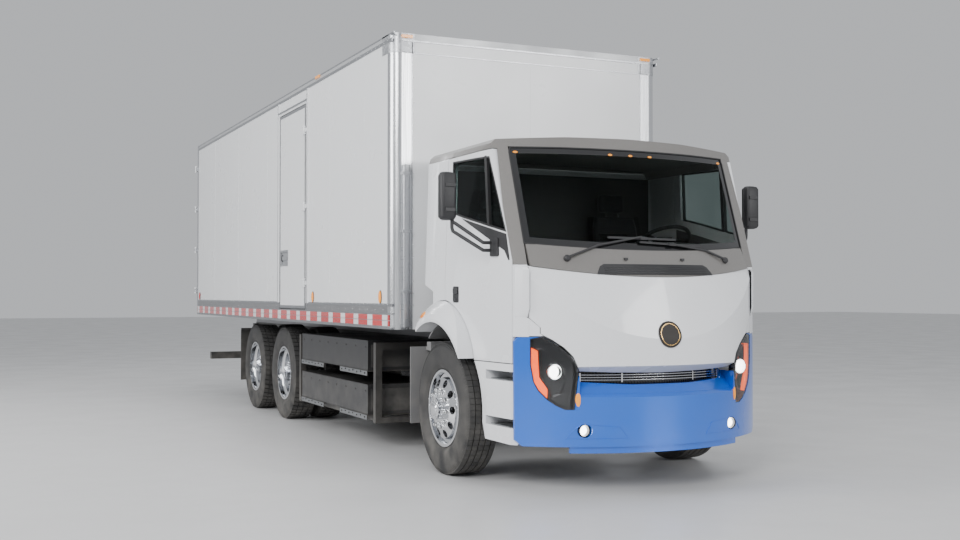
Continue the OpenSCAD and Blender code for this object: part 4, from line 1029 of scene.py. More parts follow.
FENDER_MARKER = (352, 1226)
ARCH_CENTRE_AFT = 100
WINDOW = [(-40, 2412), (-664, 2392), (-902, 1836), (-42, 2018)]


def door_fittings(side, word):
    """Window seal and division bar, dark trim below, handle and inner card of a cab door."""
    piece = Piece("door_fittings_" + word, word + "_cab_door", side)
    piece.use(SEAL)
    piece.band(shifted(WINDOW, 3, True), 14, cab_side, -18, 1.5, True, 40)
    piece.band([(-606, 2404), (-648, 1888)], 33.4, cab_side, -35, 0.5, False, 60)
    piece.use(BLACK_PLASTIC)
    trim = [(-236, 1966), (-908, 1818), (-956, 1632), (-938, 1630), (-884, 1700)]
    piece.plate(trim, cab_side, -2, 3, 60)
    piece.plate(rounded((-196, 1326), (-104, 1450), 18), cab_side, -8, 3, 60)
    piece.use(GLOSS_BLACK)
    piece.plate(rounded((-186, 1392), (-114, 1438), 12), cab_side, 2, 10, 60)
    piece.cap([(0.5, -4), (9, -4), (9, 6), (0.5, 7)], cab_side(-150, 1352), (1, 0, 0), 20)
    piece.use(INNER_TRIM)
    card = [(-905, 1064), (-410, 1064), (-340, 1180), (-240, 1275), (-110, 1340), (20, 1368), (20, 1940),
            (-880, 1750), (-930, 1600)]
    piece.plate(card, cab_side, -53, -45.5, 60)
    piece.plate(rounded((-640, 1320), (-180, 1400), 30), cab_side, -92, -52, 60)
    piece.plate(rounded((-800, 1080), (-440, 1180), 30), cab_side, -66, -52, 60)
    piece.use(BLACK_PLASTIC)
    piece.plate(rounded((-400, 1500), (-300, 1540), 12), cab_side, -62, -52, 60)
    piece.make(bevel=1.5, slot="black_plastic")


def mirror(side, word):
    """A door mirror: its foot, two bars, rounded shell and two glasses facing aft."""
    piece = Piece("door_mirror_" + word, word + "_cab_door", side)
    low, high = place("mirror_" + word)
    out = max(abs(low.x), abs(high.x))
    piece.use(BLACK_PLASTIC)
    piece.plate(rounded((-806, 1662), (-694, 1796), 14), cab_side, -1, 14, 60)
    stem = out - 102
    for top, bottom in ((1760, 1900), (1705, 1832)):
        piece.tube([(1080, -742, top), (1142, -744, top), (stem - 24, -590, bottom),
                    (stem - 6, -576, bottom + 14), (stem, -572, bottom + 40), (stem, -572, 1990)], 13, 14)
    rings = []
    for height, inset in ((1925, 26), (1932, 9), (1950, 0), (2250, 0), (2268, 9), (2275, 26)):
        shell = rounded((out - 124 + inset, -622 + inset), (out - inset, -542), 30, 5)
        rings.append([(u, v, height) for u, v in shell])
    piece.loft(rings)
    piece.use(SEAL)
    piece.slab(rounded((out - 116, 1936), (out - 8, 2264), 20), "y", -543, -534)
    piece.use(MIRROR_GLASS)
    piece.slab(rounded((out - 108, 2052), (out - 16, 2254), 14), "y", -536, -532)
    piece.slab(rounded((out - 108, 1946), (out - 16, 2040), 14), "y", -536, -532)
    piece.use(BLACK_PLASTIC)
    for height in (2000, 2180):
        piece.block((out - 108, -630, height - 14), (out - 30, -600, height + 14))
    piece.make(bevel=2.0, slot="black_plastic", replaces=["mirror_" + word])


def fender_face(aft, z, out=0.0):
    """The fender's outer face, falling away from the lip of the arch."""
    reach = math.hypot(aft - ARCH_CENTRE_AFT, z - HUB_Z)
    shape = [(665, 1200), (687, 1200), (727, 1186), (775, 1152), (827, 1108), (900, 1100)]
    x = shape[0][1]
    for (low, start), (high, end) in zip(shape, shape[1:]):
        if low <= reach <= high:
            x = start + (end - start) * (reach - low) / (high - low)
    return Vector((x + out, aft, z))


def cab_flank(side, word):
    """Step treads and the fender marker on one side of the cab."""
    piece = Piece("cab_flank_" + word, "root", side)
    piece.use(AMBER_LENS)
    for share, out in ((1.0, 7), (0.86, 12), (0.6, 14)):
        piece.plate(oval(FENDER_MARKER, 56 * share, 27 * share, 32), fender_face, -12, out, 20)
    piece.use(TREAD_METAL)
    for foot, depth in ((778, 66), (450, 62)):
        inner = 866
        for x in range(13):
            low = inner + 6 + x * 12
            piece.block((low, -978, foot - 1), (low + 5, -620, foot + 6))
        for row in range(9):
            aft = -975 + row * 43
            piece.block((inner, aft, foot - 1), (1016 - max(0, row - 7) * 2, aft + 5, foot + 5))
        piece.use(BLACK_PLASTIC)
        piece.block((inner, -980, foot + depth - 3), (1012, -616, foot + depth - 1))
        piece.use(TREAD_METAL)
    piece.make(bevel=1.0, slot="black_plastic", segments=1)


def cab_shell_inside():
    """Lining of the rear wall and roof, the floor mat, and the console between the seats."""
    piece = Piece("cab_lining")
    piece.use(PALE_TRIM)
    rings = []
    for aft in (-590, 410):
        roof = [(-1000, 2405), (-960, 2466), (-480, 2492), (0, 2498), (480, 2492), (960, 2466), (1000, 2405)]
        lower = [(x * 0.992, z - 9) for x, z in roof]
        rings.append([(x, aft, z) for x, z in roof + lower[::-1]])
    piece.loft(rings)
    piece.use(INNER_TRIM)
    piece.block((-1000, 402, 1500), (1000, 412, 2400))
    piece.block((-1000, 240, 1062), (1000, 250, 1440))
    piece.use(FLOOR_MAT)
    piece.block((-740, -930, 1051), (740, 240, 1062))
    for row in range(24):
        piece.block((-300, -900 + row * 44, 1061), (300, -880 + row * 44, 1065))
    piece.use(INNER_TRIM)
    outline = [(-560, 1062), (-160, 1062), (-160, 1330), (-300, 1400), (-520, 1400)]
    piece.slab(outline, "x", -110, 110)
    piece.use(BLACK_PLASTIC)
    piece.slab(rounded((-80, -500), (-10, -330), 20), "z", 1399, 1408)
    piece.slab(rounded((10, -500), (80, -330), 20), "z", 1399, 1408)
    piece.make(bevel=3.0, slot="dash_plastic")


# ---- seats and driver's place ----

SEAT_X = place("seats")[1].x - 250


def pad(name, outline, low, high, crown, lean=0.0, pivot=(0, 0)):
    """A closed, crowned cushion: the outline drawn in and raised in rings, then leaned back about a pivot."""
    piece = Piece(name)
    piece.use(SEAT_CLOTH)
    middle = Vector(outline[0]) * 0
    for point in outline:
        middle += Vector(point) / len(outline)
    rings = []
    steps = 8
    for i in range(steps + 1):
        share = i / steps
        bulge = math.sin(math.pi * share) ** 0.4
        height = low + (high - low) * share
        ring = []
        for point in outline:
            spot = middle + (Vector(point) - middle) * (0.88 + 0.12 * bulge)
            ring.append((spot.x, spot.y, height))
        rings.append(ring)
    for share in (0.72, 0.4, 0.08):
        top = [(middle.x + (p[0] - middle.x) * share, middle.y + (p[1] - middle.y) * share,
                high + crown * (1 - share * share)) for p in rings[-1]]
        rings.append(top)
    turn = Matrix.Rotation(math.radians(-lean), 4, "X")
    base = Vector((0, pivot[0], pivot[1]))
    rings = [[turn @ (Vector(point) - base) + base for point in ring] for ring in rings]
    piece.loft(rings)
    return piece


def swell(cushion, limit):
    """Fills a cushion with air as cloth, and keeps how far each point moves under the limit."""
    scene = bpy.context.scene
    remesh = cushion.modifiers.new("even skin", "REMESH")
    remesh.mode = "VOXEL"
    remesh.voxel_size = 0.006
    remesh.use_smooth_shade = True
    apply_shape(cushion)
    rest = [v.co.copy() for v in cushion.data.vertices]
    fill = cushion.modifiers.new("filling", "CLOTH")
    fill.settings.use_pressure = True
    fill.settings.uniform_pressure_force = 4.0
    fill.settings.effector_weights.gravity = 0.0
    fill.settings.quality = 4
    for step in range(1, 21):
        scene.frame_set(step)
    apply_shape(cushion)
    for vertex, start in zip(cushion.data.vertices, rest):
        move = vertex.co - start
        if move.length > limit:
            vertex.co = start + move.normalized() * limit
    scene.frame_set(1)


def apply_shape(made):
    """Keeps the shape that an object's modifiers give it."""
    graph = bpy.context.evaluated_depsgraph_get()
    shaped = bpy.data.meshes.new_from_object(made.evaluated_get(graph))
    materials = list(made.data.materials)
    made.modifiers.clear()
    made.data = shaped
    made.data.materials.clear()
    for material in materials:
        made.data.materials.append(material)


def place_copy(source, name, shift):
    """The same cushion for the other seat."""
    twin = bpy.data.objects.new(name, source.data.copy())
    bpy.context.scene.collection.objects.link(twin)
    twin.data.transform(Matrix.Translation((shift * MM, 0, 0)))
    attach(twin, "root")
    return twin


def seat_frame(side, word):
    """Pedestal with its bellows, pan, side shields, backrest shell, head rods, belt and seams of one seat."""
    piece = Piece("seat_frame_" + word, "root", side)
    x = SEAT_X
    piece.use(BLACK_PLASTIC)
    piece.slab(rounded((x - 178, -246), (x + 178, 146), 30), "z", 1052, 1092)
    for i in range(5):
        low = 1092 + i * 34
        piece.slab(rounded((x - 150, -220), (x + 150, 120), 40), "z", low, low + 14)
        piece.slab(rounded((x - 168, -238), (x + 168, 138), 40), "z", low + 14, low + 34)
    piece.slab(rounded((x - 180, -250), (x + 180, 150), 30), "z", 1262, 1322)
    for sign in (-1, 1):
        shield = [(-270, 1328), (130, 1328), (180, 1380), (150, 1404), (-250, 1370)]
        piece.slab(shield, "x", *sorted((x + sign * 236, x + sign * 249)))
    piece.slab([(200, 1440), (246, 1440), (332, 2050), (286, 2050)], "x", x - 215, x + 215)
    piece.use(BRIGHT)
    for sign in (-1, 1):
        piece.tube([(x + sign * 60, 292, 2030), (x + sign * 60, 308, 2120)], 6, 10)
    piece.use(BELT)
    piece.slab([(250, 2060), (258, 2060), (120, 1462), (112, 1462)], "x", x + 190, x + 238)
    piece.use(BRIGHT)
    piece.slab(rounded((x - 262, 60), (x - 252, 120), 4), "z", 1400, 1462)
    piece.make(bevel=3.0, slot="dash_plastic")
    seams = Piece("seat_seams_" + word, "root", side)
    seams.use(SEAT_SIDE)
    for offset in (-150, 150):
        seams.tube([(x + offset, -296, 1446), (x + offset, -200, 1457), (x + offset, 0, 1459),
                    (x + offset, 120, 1452)], 4, 8)
        seams.tube([(x + offset * 0.95, 150, 1500), (x + offset * 0.95, 176, 1680),
                    (x + offset * 0.95, 204, 1860), (x + offset * 0.9, 232, 2020)], 4, 8)
    return seams.make(slot="seat_fabric")


def seats():
    """Two seats: base, back and head cushion each, shown for the CAD seats."""
    for side, word in ((DRIVER, "driver"), (KERB, "passenger")):
        seat_frame(side, word)
    x = SEAT_X
    base = rounded((x - 236, -318), (x + 236, 176), 70, 6)
    back = rounded((x - 228, 138), (x + 228, 214), 34, 5)
    head = rounded((x - 128, 276), (x + 128, 344), 30, 5)
    cushions = [
        (pad("seat_cushion_driver", base, 1340, 1438, 10), 0.010),
        (pad("seat_back_driver", back, 1466, 2050, 6, 9.0, (176, 1466)), 0.012),
        (pad("seat_head_driver", head, 2092, 2240, 6, 4.0, (300, 2092)), 0.006)]
    made = []
    for piece, limit in cushions:
        cushion = piece.make(slot="seat_fabric")
        swell(cushion, limit)
        made.append(cushion)
    for cushion in list(made):
        twin = place_copy(cushion, cushion.name.replace("driver", "passenger"), -2 * x)
        made.append(twin)
    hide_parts("seats")


def dashboard_fittings():
    """Instrument hood, displays, vents and glove box of the dashboard."""
    piece = Piece("dashboard_fittings")
    piece.use(INNER_TRIM)
    hood_shape = [(-760, 1700), (-560, 1712), (-545, 1760), (-600, 1800), (-720, 1772)]
    piece.slab(hood_shape, "x", SEAT_X - 210, SEAT_X + 210)
    piece.use(SCREEN)
    piece.slab([(-547, 1716), (-541, 1716), (-538, 1756), (-544, 1756)], "x", SEAT_X - 180, SEAT_X + 180)
    piece.use(GLOSS_BLACK)
    piece.slab([(-618, 1700), (-592, 1700), (-630, 1850), (-656, 1850)], "x", -120, 120)
    piece.use(SCREEN)
    piece.slab([(-590, 1712), (-588, 1712), (-624, 1840), (-627, 1840)], "x", -108, 108)
    piece.use(BLACK_PLASTIC)
    for x in (-820, -330, 200, 840):
        piece.slab([(-604, 1600), (-590, 1600), (-588, 1672), (-602, 1672)], "x", x - 60, x + 60)
        for row in range(5):
            piece.block((x - 54, -592, 1608 + row * 13), (x + 54, -584, 1611 + row * 13))
    piece.slab([(-700, 1412), (-692, 1408), (-618, 1562), (-626, 1566)], "x", -780, -260)
    piece.make(bevel=3.0, slot="dash_plastic")


def steering_wheel_fittings():
    """Hub pad and ribbed rim of the steering wheel."""
    piece = Piece("steering_wheel_pad", "steering")
    centre = Vector((SEAT_X, -470, 1800))
    axis = Vector((0, 0.5299, 0.8480))
    across = Vector((1, 0, 0))
    upward = axis.cross(across)
    piece.use(INNER_TRIM)
    for start, end, size in ((-10, 16, 78), (16, 22, 66)):
        shape = rounded((-size, -size * 0.8), (size, size * 0.8), 26)
        flat = [centre + across * u + upward * v for u, v in shape]
        piece.loft([[point + axis * along for point in flat] for along in (start, end)])
    piece.use(SEAL)
    for turn in turns(36):
        out = across * math.cos(turn) + upward * math.sin(turn)
        along = across * -math.sin(turn) + upward * math.cos(turn)
        spot = centre + out * 225
        ring = [spot + out * 16.2 * math.cos(t) + axis * 16.2 * math.sin(t) for t in turns(12)]
        piece.loft([[point - along * 3 for point in ring], [point + along * 3 for point in ring]])
    piece.make(bevel=3.0, slot="black_plastic")


# ---- box ----

DOOR_AFT = (place("side_door")[0].y + 11, place("side_door")[1].y)
SIDE_LENGTH = (WALLS[0].y, WALLS[1].y)


def reflective_tape(side, word):
    """Two rows of red and white reflective tape along the lower rail, clear of the side door."""
    piece = Piece("reflective_tape_" + word, "root", side)
    pitch = 377
    for low, high in ((BOX_LOW + 26, BOX_LOW + 70), (BOX_LOW + 75, BOX_LOW + 119)):
        for i in range(-1, 22):
            start = 955 + i * pitch
            for material, first, last in ((RED_TAPE, 0, 244), (WHITE_TAPE, 246, 375)):
                begin = max(start + first, SIDE_LENGTH[0] + 60)
                end = min(start + last, BOX_REAR - 30)
                if end - begin > 15:
                    piece.use(material)
                    strip = [(begin, low), (end, low), (end, high), (begin, high)]
                    piece.plate(strip, box_side, -0.5, 0.6, 400)
    return piece.make(slot="box_white")


def box_flank(side, word):
    """Rub rail, rivets, wall joints and marker lamps on one side of the box."""
    piece = Piece("box_flank_" + word, "root", side)
    start, end = SIDE_LENGTH
    piece.use(RAIL_METAL)
    gap = (DOOR_AFT[0] - 40, DOOR_AFT[1] + 40) if side == KERB else None
    for low, high, out in ((BOX_LOW, BOX_LOW + 16, 5), (BOX_LOW + 126, BOX_LOW + 134, 4),
                           (BOX_LOW + 190, RAIL_TOP + 12, 3)):
        stretches = [(start, end)] if not gap or high < BOX_LOW + 130 else [(start, gap[0]), (gap[1], end)]
        for begin, finish in stretches:
            piece.block((BOX_HALF - 4, begin, low), (BOX_HALF + out, finish, high))
    piece.block((BOX_HALF - 4, start, WALLS[1].z - 12), (BOX_HALF + 4, end, WALLS[1].z + 16))
    piece.block((BOX_HALF - 8, start - 40, BOX_TOP - 14), (BOX_HALF + 3, end + 60, BOX_TOP - 2))
    piece.use(BOX_WHITE)
    for seam in (1427, 2460, 4844, 6300, 7700):
        if side == KERB and DOOR_AFT[0] < seam < DOOR_AFT[1]:
            continue
        piece.block((BOX_HALF - 3, seam - 22, RAIL_TOP + 12), (BOX_HALF + 1.6, seam + 22, WALLS[1].z - 12))
    piece.use(BRIGHT)
    for height, pitch in ((RAIL_TOP + 5, 102), (WALLS[1].z + 4, 102), (BOX_LOW + 160, 204)):
        count = int((end - start) / pitch)
        for i in range(1, count):
            aft = start + i * pitch
            if gap and gap[0] < aft < gap[1] and height < 2000:
                continue
            rivet(piece, Vector((BOX_HALF + 3, aft, height)), (1, 0, 0))
    for seam in (1427, 4844, 6300, 7700):
        for i in range(22):
            for shift in (-14, 14):
                rivet(piece, Vector((BOX_HALF + 1.6, seam + shift, RAIL_TOP + 60 + i * 98)), (1, 0, 0), 4)
    marks = [(994, 1367), (2986, 1362)] if side == KERB else [(994, 1367), (4700, 1362)]
    for aft, height in marks + [(8700, 1367)]:
        material = AMBER_LENS if aft < 8000 else RED_LENS
        oval_lamp(piece, material, aft, height, 30, 52)
    piece.use(AMBER_LENS)
    piece.block((BOX_HALF - 2, 2770, BOX_TOP - 27), (BOX_HALF + 12, 2900, BOX_TOP - 1))
    return piece.make(bevel=1.0, slot="post_aluminium", segments=1)


def rivet(piece, spot, axis, radius=5):
    """A domed rivet head, sunk a little into its panel."""
    piece.cap([(0.3, -2), (radius, -2), (radius, 0.4), (radius * 0.6, 1.7), (0.3, 2.1)], spot, axis, 8)


def oval_lamp(piece, material, aft, height, half_wide, half_tall):
    """An oval marker lamp on the side of the box."""
    piece.use(SEAL)
    centre = (aft, height)
    piece.plate(oval(centre, half_wide + 5, half_tall + 5, 32), box_side, -2, 5, 100)
    piece.use(material)
    for share, out in ((1.0, 9), (0.82, 13), (0.55, 15)):
        piece.plate(oval(centre, half_wide * share, half_tall * share, 32), box_side, 2, out, 100)


def side_door_frame():
    """The frame round the side door, on the wall."""
    piece = Piece("side_door_frame", "root", KERB)
    low_aft, high_aft = DOOR_AFT
    low = SIDE_DOOR[0].z
    high = SIDE_DOOR[1].z
    piece.use(RAIL_METAL)
    piece.plate([(low_aft - 60, low), (low_aft - 50, low), (low_aft - 50, WALLS[1].z - 8),
                 (low_aft - 60, WALLS[1].z - 8)], box_side, -2, 9, 3000)
    piece.use(BOX_WHITE)
    jambs = [((low_aft - 110, low + 62), (low_aft - 62, WALLS[1].z - 8)),
             ((high_aft + 12, low + 62), (high_aft + 64, WALLS[1].z - 8))]
    for start, end in jambs:
        piece.plate([start, (end[0], start[1]), end, (start[0], end[1])], box_side, -2, 5, 3000)
    piece.use(RAIL_METAL)
    piece.plate([(high_aft + 66, low + 62), (high_aft + 74, low + 62), (high_aft + 74, WALLS[1].z - 8),
                 (high_aft + 66, WALLS[1].z - 8)], box_side, -2, 8, 3000)
    piece.plate([(low_aft - 60, high + 30), (high_aft + 60, high + 30), (high_aft + 60, high + 46),
                 (low_aft - 60, high + 46)], box_side, -2, 10, 3000)
    piece.make(bevel=1.5, slot="box_white")


def side_door_fittings():
    """Seal, edge frame, recessed latch and hinge bolts of the side door."""
    piece = Piece("side_door_fittings", "kerb_door", KERB)
    low_aft, high_aft = DOOR_AFT
    low = SIDE_DOOR[0].z
    high = SIDE_DOOR[1].z
    edge = [(low_aft + 18, low + 18), (high_aft - 18, low + 18), (high_aft - 18, high - 18),
            (low_aft + 18, high - 18)]
    piece.use(RAIL_METAL)
    piece.band(edge, 34, box_side, -3, 2.0, True, 3000)
    piece.use(SEAL)
    piece.band(shifted(edge, -15, True), 5, box_side, -6, 3.0, True, 3000)
    latch_low = (high_aft - 340, low + 470)
    latch_high = (high_aft - 40, low + 620)
    piece.use(GALVANISED)
    rim = [latch_low, (latch_high[0], latch_low[1]), latch_high, (latch_low[0], latch_high[1])]
    piece.band(rim, 24, box_side, -2, 3, True, 3000)
    piece.plate(rim, box_side, -13.5, -11, 3000)
    piece.plate(rounded((latch_low[0] + 30, latch_low[1] + 52), (latch_high[0] - 70, latch_high[1] - 52), 10),
                box_side, -6, 2, 3000)
    piece.use(BLACK_PLASTIC)
    paddle = rounded((latch_high[0] - 66, latch_low[1] + 40), (latch_high[0] - 18, latch_high[1] - 40), 14)
    piece.plate(paddle, box_side, -12, -3, 3000)
    piece.use(BRIGHT)
    for height in (low + 270, (low + high) / 2, high - 270):
        for drop in (-33, 33):
            for aft in (32, 52):
                rivet(piece, Vector((BOX_HALF + 22, low_aft + aft, height + drop)), (1, 0, 0), 5)
    piece.make(bevel=1.2, slot="box_white", segments=1)


def box_front():
    """Front wall joint, top and corner castings, marker lamps, rivets and the air duct beside the post."""
    piece = Piece("box_front_trim")
    low, high = BOX_LOW, WALLS[1].z
    piece.use(BOX_WHITE)
    piece.block((-12, BOX_FRONT - 3, low + 10), (24, BOX_FRONT + 4, high - 100))
    piece.use(RAIL_METAL)
    piece.block((-BOX_HALF + 90, BOX_FRONT - 5, high - 6), (BOX_HALF - 90, BOX_FRONT + 6, high + 10))
    piece.block((-BOX_HALF + 90, BOX_FRONT - 3, high - 104), (BOX_HALF - 90, BOX_FRONT + 6, high - 94))
    for sign in (-1, 1):
        edge = sign * (BOX_HALF - 177)
        piece.block((edge - 5, BOX_FRONT - 3, low), (edge + 5, BOX_FRONT + 3, high))
    piece.use(BRIGHT)
    for i in range(24):
        rivet(piece, Vector((-1150 + i * 100, BOX_FRONT - 5, high + 2)), (0, -1, 0))
    for i in range(1, 23):
        for sign in (-1, 1):
            rivet(piece, Vector((sign * 1105, BOX_FRONT - 0.5, low + i * 100)), (0, -1, 0))
    piece.make(bevel=1.2, slot="box_white", segments=1)
    for side, word in SIDES:
        corner = Piece("box_corner_casting_" + word, "root", side)
        corner.use(GALVANISED)
        arc = [(BOX_HALF - 85 + 88 * math.cos(t), BOX_FRONT + 85 - 88 * math.sin(t))
               for t in [math.radians(a) for a in range(0, 91, 10)]]
        outer = [(BOX_HALF + 3, BOX_FRONT + 240)] + arc + [(BOX_HALF - 200, BOX_FRONT - 3)]
        inner = shifted(outer, -9, False)
        corner.loft([[(u, v, z) for u, v in outer + inner[::-1]] for z in (high - 100, BOX_TOP + 2)])
        corner.use(AMBER_LENS)
        corner.block((BOX_HALF - 180, BOX_FRONT - 14, high + 22), (BOX_HALF - 80, BOX_FRONT - 1, high + 48))
        corner.make(bevel=2.0, slot="post_aluminium")
    duct = Piece("box_front_duct", "root", KERB)
    duct.use(RAIL_METAL)
    duct.slab(rounded((1150, BOX_FRONT - 52), (1212, BOX_FRONT - 1), 12), "z", low + 20, 2464)
    for height in (1400, 1900, 2380):
        duct.slab(rounded((1140, BOX_FRONT - 56), (1222, BOX_FRONT), 6), "z", height, height + 24)
    duct.make(bevel=1.5, slot="post_aluminium")


def top_lamp(piece, x):
    """A small red lamp on the head of the rear frame."""
    piece.use(RED_LENS)
    piece.plate(rounded((x - 50, BOX_TOP - 62), (x + 50, BOX_TOP - 36), 8), box_tail, -2, 10, 300)


def rear_fittings():
    """Lamps and bumper pads of the rear frame, and the plate bracket."""
    piece = Piece("rear_frame_fittings")
    sill = BOX_LOW + 55
    for sign in (-1, 1):
        for x, material in ((1120, RED_LENS), (955, RED_LENS), (790, WHITE_TAPE)):
            piece.use(SEAL)
            piece.plate(oval((sign * x, sill), 76, 34, 28), box_tail, -2, 5, 300)
            piece.use(material)
            piece.plate(oval((sign * x, sill), 68, 27, 28), box_tail, 0, 11, 300)
        top_lamp(piece, sign * 1180)
        piece.use(SEAL)
        pad_x = sign * 520
        piece.plate(rounded((pad_x - 60, sill - 44), (pad_x + 60, sill + 26), 12), box_tail, -2, 30, 300)
    for x in (-150, 0, 150):
        top_lamp(piece, x)
    piece.use(RAIL_METAL)
    piece.plate(rounded((-170, sill - 50), (170, sill + 40), 10), box_tail, -2, 4, 400)
    piece.make(bevel=1.5, slot="galvanised", segments=1)


def rear_door_fittings(side, word):
    """Edge seals, tape, rod guides and hinge bolts of one rear door."""
    low, high = place("rear_door_" + word)
    piece = Piece("rear_door_fittings_" + word, word + "_rear_door", side)
    face = BOX_REAR + 35

    def leaf(x, z, out=0.0):
        return Vector((x, face + out, z))

    outline = [(16, low.z + 12), (1271, low.z + 12), (1271, high.z - 12), (16, high.z - 12)]
    piece.use(SEAL)
    piece.band(outline, 20, leaf, -4, 1.5, True, 3000)
    piece.use(RAIL_METAL)
    piece.band(shifted(outline, 24, True), 26, leaf, -3, 1.0, True, 3000)
    for i in range(3):
        start = 60 + i * 376
        for material, first, last in ((RED_TAPE, 0, 244), (WHITE_TAPE, 246, 374)):
            piece.use(material)
            strip = [(start + first, low.z + 60), (start + last, low.z + 60),
                     (start + last, low.z + 108), (start + first, low.z + 108)]
            piece.plate(strip, leaf, -0.5, 0.8, 3000)
    piece.use(GALVANISED)
    for height in (low.z + 46, high.z - 46):
        piece.slab(rounded((296, height - 26), (364, height + 26), 8), "y", face - 1, face + 12)
    piece.use(BRIGHT)
    for i in range(4):
        height = low.z + 240 + i * (high.z - low.z - 480) / 3
        for drop in (-33, 33):
            for x in (1140, 1180, 1230):
                rivet(piece, Vector((x, face + 6.5, height + drop)), (0, 1, 0), 6)
    piece.make(bevel=1.2, slot="box_white", segments=1)


# ---- batteries and chassis ----

FRONT_FLAP = 610
REAR_FLAP = 6461

def battery_fittings(side, word):
    """Edge strips, fasteners and mounting plates of the battery packs on one side."""
    piece = Piece("battery_fittings_" + word, "root", side)
    low, high = place("battery_packs")
    half = (high.z - low.z - 125) / 2
    face = high.x
    plate_face = high.x + 8
    for foot in (low.z, low.z + half + 125):
        piece.use(BATTERY_BLACK)
        piece.block((face - 2, low.y + 3, foot + half - 7), (face + 3, high.y - 3, foot + half - 1))
        piece.block((face - 2, low.y + 3, foot + 2), (face + 3, high.y - 3, foot + 8))
        piece.use(FRAME_BLACK)
        piece.block((510, low.y - 5, foot + 30), (face - 30, low.y + 2, foot + half - 40))
        for i in range(8):
            aft = low.y + 60 + i * (high.y - low.y - 120) / 7
            spot = (face - 0.5, aft, foot + half - 60)
            piece.cap([(0.4, 0), (8, 0), (8, 4), (6, 6), (0.4, 6)], spot, (1, 0, 0), 12)
        for start in (low.y, high.y - 790):
            piece.use(TREAD_METAL)
            piece.block((plate_face - 2, start + 2, foot - 45), (plate_face + 1.5, start + 788, foot - 3))
            piece.use(BATTERY_BLACK)
            for i in range(7):
                spot = (plate_face + 1, start + 60 + i * 111, foot - 24 + 9 * (i % 2))
                piece.cap([(0.4, 0), (8, 0), (8, 4), (6, 7), (0.4, 7)], spot, (1, 0, 0), 6)
    piece.make(bevel=1.5, slot="battery_case", segments=1)


def chassis_fittings():
    """Frame bolts along the rails, and the clamps of the front springs."""
    piece = Piece("frame_bolts")
    low, high = place("chassis_frame")
    piece.use(BRIGHT)
    for side in (-1, 1):
        for i in range(46):
            aft = low.y + 130 + i * 200
            for height in (low.z + 50, high.z - 50):
                if aft < high.y - 80:
                    piece.cap([(0.4, -1), (12, -1), (12, 5), (9, 9), (0.4, 9)],
                              (side * high.x, aft, height), (side, 0, 0), 6)
    piece.use(FRAME_BLACK)
    spring_x = high.x - 40
    for side in (-1, 1):
        for aft in (-58, 58):
            path = [(side * spring_x - 46, aft, 440), (side * spring_x - 46, aft, 622),
                    (side * spring_x + 46, aft, 622), (side * spring_x + 46, aft, 440)]
            piece.tube(path, 8, 10)
        piece.slab(rounded((side * spring_x - 60, -76), (side * spring_x + 60, 76), 10), "z", 446, 462)
    piece.make(bevel=1.0, slot="frame_paint", segments=1)


def mud_flaps(side, word):
    """Ribbed rubber over the flaps, and the clamping bar of the rear ones."""
    piece = Piece("mud_flap_ribs_" + word, "root", side)
    piece.use(RUBBER)
    for i in range(11):
        x = 668 + i * 50
        piece.block((x, REAR_FLAP - 1, 330), (x + 16, REAR_FLAP + 5, 920))
    piece.use(GALVANISED)
    piece.block((650, REAR_FLAP - 1, 925), (1205, REAR_FLAP + 8, 955))
    piece.use(RUBBER)
    for i in range(7):
        x = 790 + i * 52
        piece.block((x, FRONT_FLAP - 1, 360), (x + 16, FRONT_FLAP + 4, 900))
    piece.make(bevel=1.0, slot="liner_plastic", segments=1)


def cab_fronts():
    lamps()
    bumper_slot()
    panel_seams()
    cowl_cover()
    windshield_fittings()
    wipers()
    for side, word in SIDES:
        corner_vents(side, word)
        door_fittings(side, word)
        mirror(side, word)
        cab_flank(side, word)
    cab_shell_inside()


def box_parts():
    for side, word in SIDES:
        reflective_tape(side, word)
        box_flank(side, word)
        rear_door_fittings(side, word)
        battery_fittings(side, word)
        mud_flaps(side, word)
    side_door_frame()
    side_door_fittings()
    box_front()
    rear_fittings()
    chassis_fittings()


# ---- studio ----


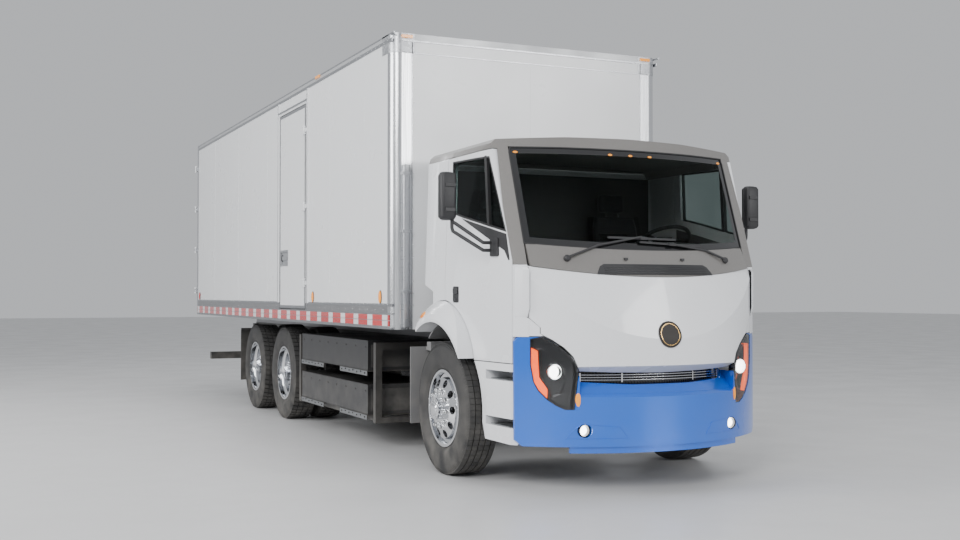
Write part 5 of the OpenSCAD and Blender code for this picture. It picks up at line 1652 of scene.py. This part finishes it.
def studio():
    """Floor, soft lights and the camera."""
    floor = bmesh.new()
    bmesh.ops.create_grid(floor, x_segments=40, y_segments=40, size=60)
    data = bpy.data.meshes.new("studio_floor")
    floor.to_mesh(data)
    floor.free()
    data.materials.append(STUDIO_FLOOR)
    ground = bpy.data.objects.new("studio_floor", data)
    bpy.context.scene.collection.objects.link(ground)
    sky = bpy.data.worlds.new("studio air")
    bpy.context.scene.world = sky
    sky.use_nodes = True
    sky.node_tree.nodes["Background"].inputs["Color"].default_value = (0.80, 0.82, 0.85, 1.0)
    sky.node_tree.nodes["Background"].inputs["Strength"].default_value = 0.7
    soft_light("key", (-9000, -9000, 7500), (0, 1500, 1500), 5.0, 1200)
    soft_light("side", (-13000, 3000, 6000), (-1000, 4500, 2000), 7.0, 1200)
    soft_light("front", (5500, -12000, 5000), (0, -1000, 1500), 5.0, 700)
    soft_light("top", (0, 3500, 11000), (0, 3500, 0), 9.0, 500)


def soft_light(name, spot, target, size, power):
    """A square area light aimed at a place."""
    lamp = bpy.data.lights.new(name, "AREA")
    lamp.shape = "SQUARE"
    lamp.size = size
    lamp.energy = power
    made = bpy.data.objects.new(name, lamp)
    bpy.context.scene.collection.objects.link(made)
    made.location = world(spot)
    made.rotation_euler = (world(target) - world(spot)).to_track_quat("-Z", "Y").to_euler()


def camera():
    """The camera stands ahead of the kerb-side corner, at eye height below the mirrors."""
    lens = bpy.data.cameras.new("camera")
    lens.lens = 43.4
    lens.sensor_width = 36.0
    lens.clip_end = 200
    made = bpy.data.objects.new("camera", lens)
    bpy.context.scene.collection.objects.link(made)
    yaw = math.radians(24.706)
    pitch = math.radians(1.205)
    ahead = Vector((math.sin(yaw) * math.cos(pitch), math.cos(yaw) * math.cos(pitch), math.sin(pitch)))
    made.location = world((-4627.3, -8265.4, 1389.2))
    made.rotation_euler = ahead.to_track_quat("-Z", "Y").to_euler()
    bpy.context.scene.camera = made


wheels()
cab_fronts()
seats()
dashboard_fittings()
steering_wheel_fittings()
box_parts()
studio()
camera()
